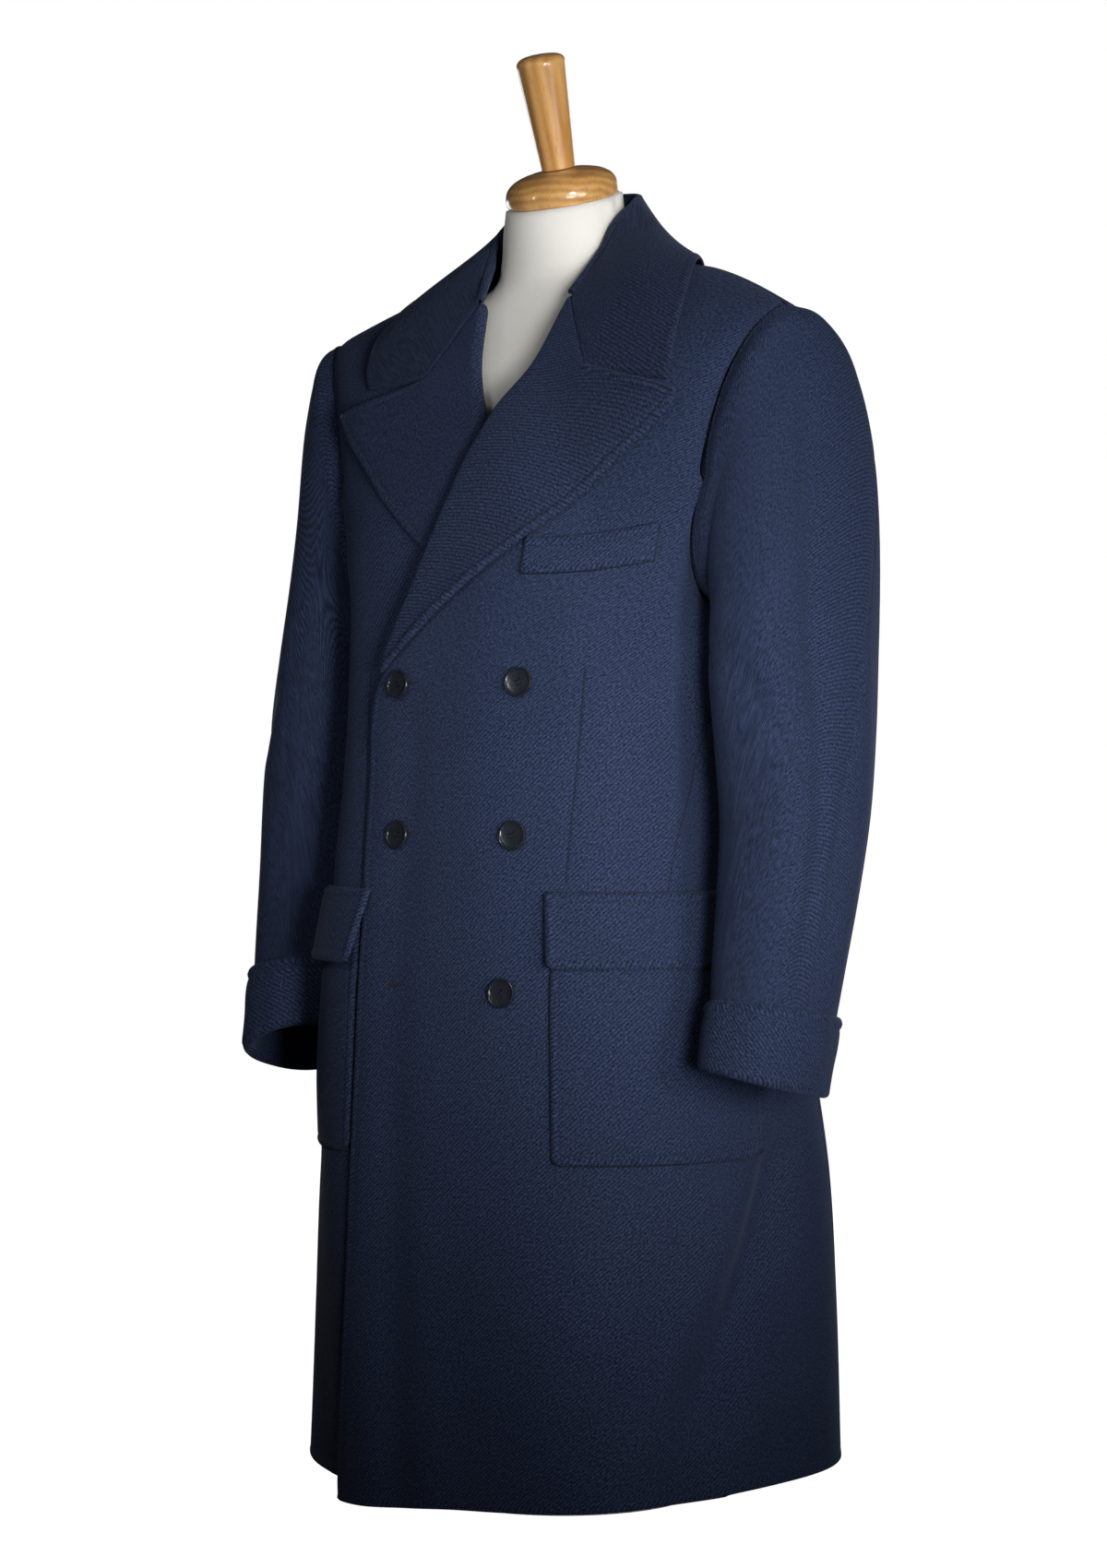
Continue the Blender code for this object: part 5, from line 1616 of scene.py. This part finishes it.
# %% [markdown]
# ## Buttonholes
# A hand-worked buttonhole is a slit whose two lips are covered with close stitches of
# silk, with a round eye at the end that holds the button. Only its tail shows beside a
# fastened button. Each hole is a joined mesh of small stitches made by a loop.

# %% Buttonholes
STITCH_STEP, STITCH_LONG, STITCH_THICK = 0.00075, 0.0016, 0.00042
STITCH_LIFT, STITCH_LEAN = 0.0001, 0.12
SLIT = 0.00012  # half the gap between the two lips
EYE_STITCHES, EYE_FROM, EYE_SWEEP = 12, 40, 280  # the eye's stitches, and their angles
LAPEL_TOP = LAPEL_OUT + CLOTH + 0.0012
LAPEL_HOLE = 0.025 * 0.92


def stitch(mesh, place, long, wide):
    """One stitch, a small squashed ball."""
    scale = Matrix.Diagonal((long, wide, STITCH_THICK * 0.8, 1))
    bmesh.ops.create_icosphere(mesh, subdivisions=1, radius=1.0, matrix=place @ scale)


def buttonhole(name, side, x, height, length, tilt, eye=0.0, out=CLOTH):
    """Stitches round a slit that is centred on a place of the front."""
    mesh = bmesh.new()
    count = int(length / STITCH_STEP)
    for number in range(count):
        along = (number - (count - 1) / 2) * STITCH_STEP
        for lip in (-1, 1):
            place = Matrix.Translation((along, lip * (STITCH_LONG / 2 + SLIT), STITCH_LIFT))
            lean = Matrix.Rotation(STITCH_LEAN * math.sin(3.1 * number + lip), 4, "Z")
            stitch(mesh, place @ lean, STITCH_THICK, STITCH_LONG / 2)
    for number in range(EYE_STITCHES if eye else 0):
        angle = math.radians(EYE_FROM + EYE_SWEEP * number / (EYE_STITCHES - 1))
        middle = Matrix.Translation((length / 2 + eye * 0.6, 0, STITCH_LIFT))
        place = middle @ Matrix.Rotation(math.pi - angle, 4, "Z") @ Matrix.Translation((eye, 0, 0))
        stitch(mesh, place, STITCH_LONG / 2, STITCH_THICK)
    data = to_data(mesh, name)
    data.shade_smooth()
    data.transform(seat_on(side, x, height, out, tilt))
    add_object(name, data, thread, None)


buttonhole("hole_top", 1, -BUTTON_X + 0.010, BUTTON_ROWS[0] + 0.001, 0.022, 0.03)
buttonhole("hole_middle", 1, -BUTTON_X + 0.010, BUTTON_ROWS[1] + 0.001, 0.022, 0.03)
buttonhole("hole_low", 1, -BUTTON_X + 0.0025, 0.4556, 0.025, math.pi + 0.02, eye=0.0014)
buttonhole("hole_lapel_left", 1, 0.1090, 0.9325, LAPEL_HOLE, -0.27, out=LAPEL_TOP)
buttonhole("hole_lapel_right", -1, 0.1090, 0.9325, LAPEL_HOLE, 0.27, out=LAPEL_TOP)
print("buttonholes: 5")

# %% [markdown]
# ## The dress form
# The form is a firm padded bust under cream jersey, without arms, head or legs. Rings
# are bridged from the hips to the neck. A squashed wooden cap closes the neck, and a
# leaning wooden handle stands on it.

# %% Form sizes
# Height, half width, depth in front and behind, forward tip in degrees.
FORM = np.array([
    (0.355, 0.135, 0.115, 0.115, 0),
    (0.385, 0.158, 0.138, 0.140, 0),
    (0.500, 0.156, 0.136, 0.122, 0),
    (0.620, 0.148, 0.126, 0.104, 0),
    (0.750, 0.150, 0.116, 0.106, 0),
    (0.840, 0.160, 0.108, 0.110, 0),
    (0.900, 0.170, 0.094, 0.108, 0),
    (0.950, 0.174, 0.078, 0.102, 0),
    (0.990, 0.170, 0.064, 0.092, 0),
    (1.020, 0.145, 0.050, 0.080, 0),
    (1.043, 0.100, 0.042, 0.070, 0),
    (1.062, 0.067, 0.040, 0.060, 2),
    (1.082, 0.058, 0.045, 0.055, 6),
    (1.107, 0.0540, 0.0500, 0.0535, 11),
    (1.132, 0.0505, 0.0500, 0.0505, 17),
])
LEAN = math.radians(17)
CAP_FOOT = Vector((0, 0.0005, 1.1325))
NECK_HEIGHT = 1.05
FORM_SEGMENTS, FORM_RINGS = 112, 130
GATHER, GATHER_COUNT, NECK_RADIUS = 0.0011, 17, 0.05


def make_torso():
    """The jersey bust, as rings bridged from the hips to the neck."""
    mesh = bmesh.new()
    rings = []
    levels = np.linspace(FORM[0, 0], FORM[-1, 0], FORM_RINGS)
    for index, height in enumerate(levels):
        ends = index in (0, len(levels) - 1)
        ring = bmesh.ops.create_circle(mesh, cap_ends=ends, radius=1.0, segments=FORM_SEGMENTS)["verts"]
        half, front, back, tip = (float(between(FORM, column, height)) for column in range(1, 5))
        square = mix(2.5, 2.0, float(ease(height, 1.03, NECK_HEIGHT + 0.01)))
        for vert in ring:
            angle = math.atan2(vert.co.x, -vert.co.y)
            c, s = rounded(angle, square)
            y = -c * (front if c > 0 else back)
            # Small gathers of the jersey where it is drawn in under the cap.
            gather = GATHER * math.sin(angle * GATHER_COUNT + 1.0) * float(ease(height, 1.095, 1.128))
            wider = 1 + gather * float(ease(abs(angle), 0.9, 1.7)) / NECK_RADIUS
            lift = height + y * math.tan(math.radians(tip)) - DATUM
            vert.co = (half * s * wider, y * wider, lift)
        rings.append(ring)
    edges_of = []
    for ring in rings:
        inside = set(ring)
        edges_of.append([e for vert in ring for e in vert.link_edges if e.other_vert(vert) in inside])
    for low, high in zip(edges_of, edges_of[1:]):
        bmesh.ops.bridge_loops(mesh, edges=list(set(low + high)))
    bmesh.ops.recalc_face_normals(mesh, faces=mesh.faces)
    data = to_data(mesh, "jersey_torso")
    data.shade_smooth()
    return data


# %% Jersey, beech, steel and paint
KNIT_ROW = 0.0011  # height of a row of stitches
CREAM = ((0.84, 0.82, 0.76, 1), (0.92, 0.90, 0.84, 1))  # darkest and palest, as the ones below
BEECH = ((0.78, 0.45, 0.155, 1), (0.44, 0.185, 0.040, 1))
PORE = (0.26, 0.10, 0.025, 1)
STEEL = ((0.42, 0.42, 0.43, 1), (0.58, 0.58, 0.59, 1))
PAINT = ((0.78, 0.78, 0.76, 1), (0.83, 0.83, 0.81, 1))
NONE, ONE = (0, 0, 0), (1, 1, 1)


def make_jersey():
    """Cream jersey: fine rows of knitting in a soft fuzz."""
    made, tree, shader = new_material("cream_jersey_knit")
    place = object_place(tree)
    rows = node(tree, "SeparateXYZ", (place,), 2)
    ribs = sums(tree, "SINE", sums(tree, "MULTIPLY", rows, math.tau / KNIT_ROW))
    relief = sums(tree, "ADD", sums(tree, "MULTIPLY", ribs, 0.3), noise(tree, place, 700, 2))
    fill(
        tree, shader, Base_Color=blend_colours(tree, noise(tree, place, 14, 2), *CREAM),
        Roughness=0.8, Sheen_Weight=0.15, Normal=bump(tree, relief, 0.25, 0.0003),
    )
    return made


def make_beech(name, lean, rings=False):
    """Wood whose grain runs along the leaning handle, or in rings over a turned cap."""
    made, tree, shader = new_material(name)
    upright = node(tree, "Mapping", (object_place(tree), NONE, (-lean, 0, 0), ONE))
    grain_place = node(tree, "Mapping", (upright, NONE, NONE, (1, 1, 0.07)))
    streaks = noise(tree, grain_place, 150, 5, 0.65)
    wave = node(
        tree, "TexWave", (upright, 42, 3.5, 3) if rings else (grain_place, 28, 3.5, 3), 1,
        wave_type="RINGS" if rings else "BANDS",
    )
    figure = sums(tree, "MULTIPLY", streaks, 0.55)
    for value, share in ((wave, 0.3), (noise(tree, grain_place, 36, 3, 0.5), 0.35)):
        figure = sums(tree, "ADD", figure, sums(tree, "MULTIPLY", value, share))
    honey = blend_colours(tree, spread_to(tree, figure, 0.3, 0.9), *BEECH)
    pores = spread_to(tree, noise(tree, grain_place, 900, 2, 0.5), 0.62, 0.70, 0.0, 0.5)
    fill(
        tree, shader, Base_Color=blend_colours(tree, pores, honey, PORE), Roughness=0.42,
        Coat_Weight=0.8, Coat_Roughness=0.10, Normal=bump(tree, streaks, 0.06, 0.0003),
    )
    return made


def make_steel():
    """Steel tube, brushed round."""
    made, tree, shader = new_material("brushed_steel_tube")
    lines = noise(tree, node(tree, "Mapping", (object_place(tree), NONE, NONE, (1, 1, 18))), 260, 3)
    fill(
        tree, shader, Base_Color=blend_colours(tree, lines, *STEEL), Metallic=1.0,
        Roughness=spread_to(tree, lines, 0.3, 0.7, 0.28, 0.42),
    )
    return made


def make_paint():
    """Satin powder coat with a faint orange peel."""
    made, tree, shader = new_material("powder_coat")
    peel = noise(tree, object_place(tree), 420, 2)
    fill(
        tree, shader, Base_Color=blend_colours(tree, peel, *PAINT), Roughness=0.42,
        Normal=bump(tree, peel, 0.15, 0.0003),
    )
    return made


# %% Form pieces
# Radius and height along the leaning axis.
CAP_PROFILE = (
    (0.0000, 0.0000), (0.0460, 0.0000), (0.0481, 0.0010), (0.0492, 0.0025), (0.0498, 0.0045),
    (0.0500, 0.0065), (0.0499, 0.0090), (0.0495, 0.0115), (0.0485, 0.0146), (0.0467, 0.0175),
    (0.0438, 0.0204), (0.0400, 0.0228), (0.0352, 0.0249), (0.0300, 0.0264), (0.0237, 0.0277),
    (0.0170, 0.0284), (0.0085, 0.0287), (0.0000, 0.0288),
)
HANDLE_PROFILE = (
    (0.0000, 0.0291), (0.0147, 0.0291), (0.0151, 0.0296), (0.0152, 0.0310), (0.0182, 0.0745),
    (0.0212, 0.1180), (0.0214, 0.1198), (0.0212, 0.1215), (0.0205, 0.1232), (0.0190, 0.1250),
    (0.0165, 0.1265), (0.0130, 0.1275), (0.0080, 0.1282), (0.0000, 0.1284),
)
POLE_RADIUS = 0.0175
BASE_RADIUS, BASE_THICK, BASE_BEVEL = 0.115, 0.012, 0.003
POLE_FOOT, POLE_TOP = BASE_THICK + SEAM / 2, FORM[0, 0] - DATUM - SEAM / 2
POLE_PROFILE = ((0, POLE_FOOT), (POLE_RADIUS, POLE_FOOT), (POLE_RADIUS, POLE_TOP), (0, POLE_TOP))
BASE_PROFILE = (
    (0, 0), (BASE_RADIUS - 0.0008, 0), (BASE_RADIUS, 0.0008), (BASE_RADIUS, BASE_THICK - BASE_BEVEL),
    (BASE_RADIUS - 0.0009, BASE_THICK - 0.0009), (BASE_RADIUS - BASE_BEVEL, BASE_THICK), (0, BASE_THICK),
)

torso_data = make_torso()
add_object("jersey_torso", torso_data, make_jersey(), "form_torso")
lean = Matrix.Translation(CAP_FOOT - Vector((0, 0, DATUM))) @ Matrix.Rotation(LEAN, 4, "X")
beech_long, beech_round = make_beech("beech_handle", LEAN), make_beech("beech_cap", LEAN, rings=True)
upright = Matrix.Identity(4)
for name, profile, segments, place, finish, node_name, slot in (
    ("beech_cap", CAP_PROFILE, 96, lean, beech_round, "form_neck_cap", "varnished_beech"),
    ("beech_handle", HANDLE_PROFILE, 72, lean, beech_long, "form_handle", "varnished_beech"),
    ("steel_pole", POLE_PROFILE, 48, upright, make_steel(), "form_pole", "brushed_steel"),
    ("painted_base", BASE_PROFILE, 96, upright, make_paint(), "form_base", "white_paint"),
):
    data = turned(name, profile, segments)
    data.transform(place)
    add_object(name, data, finish, node_name)
print("form:", len(torso_data.polygons), "faces in the torso")
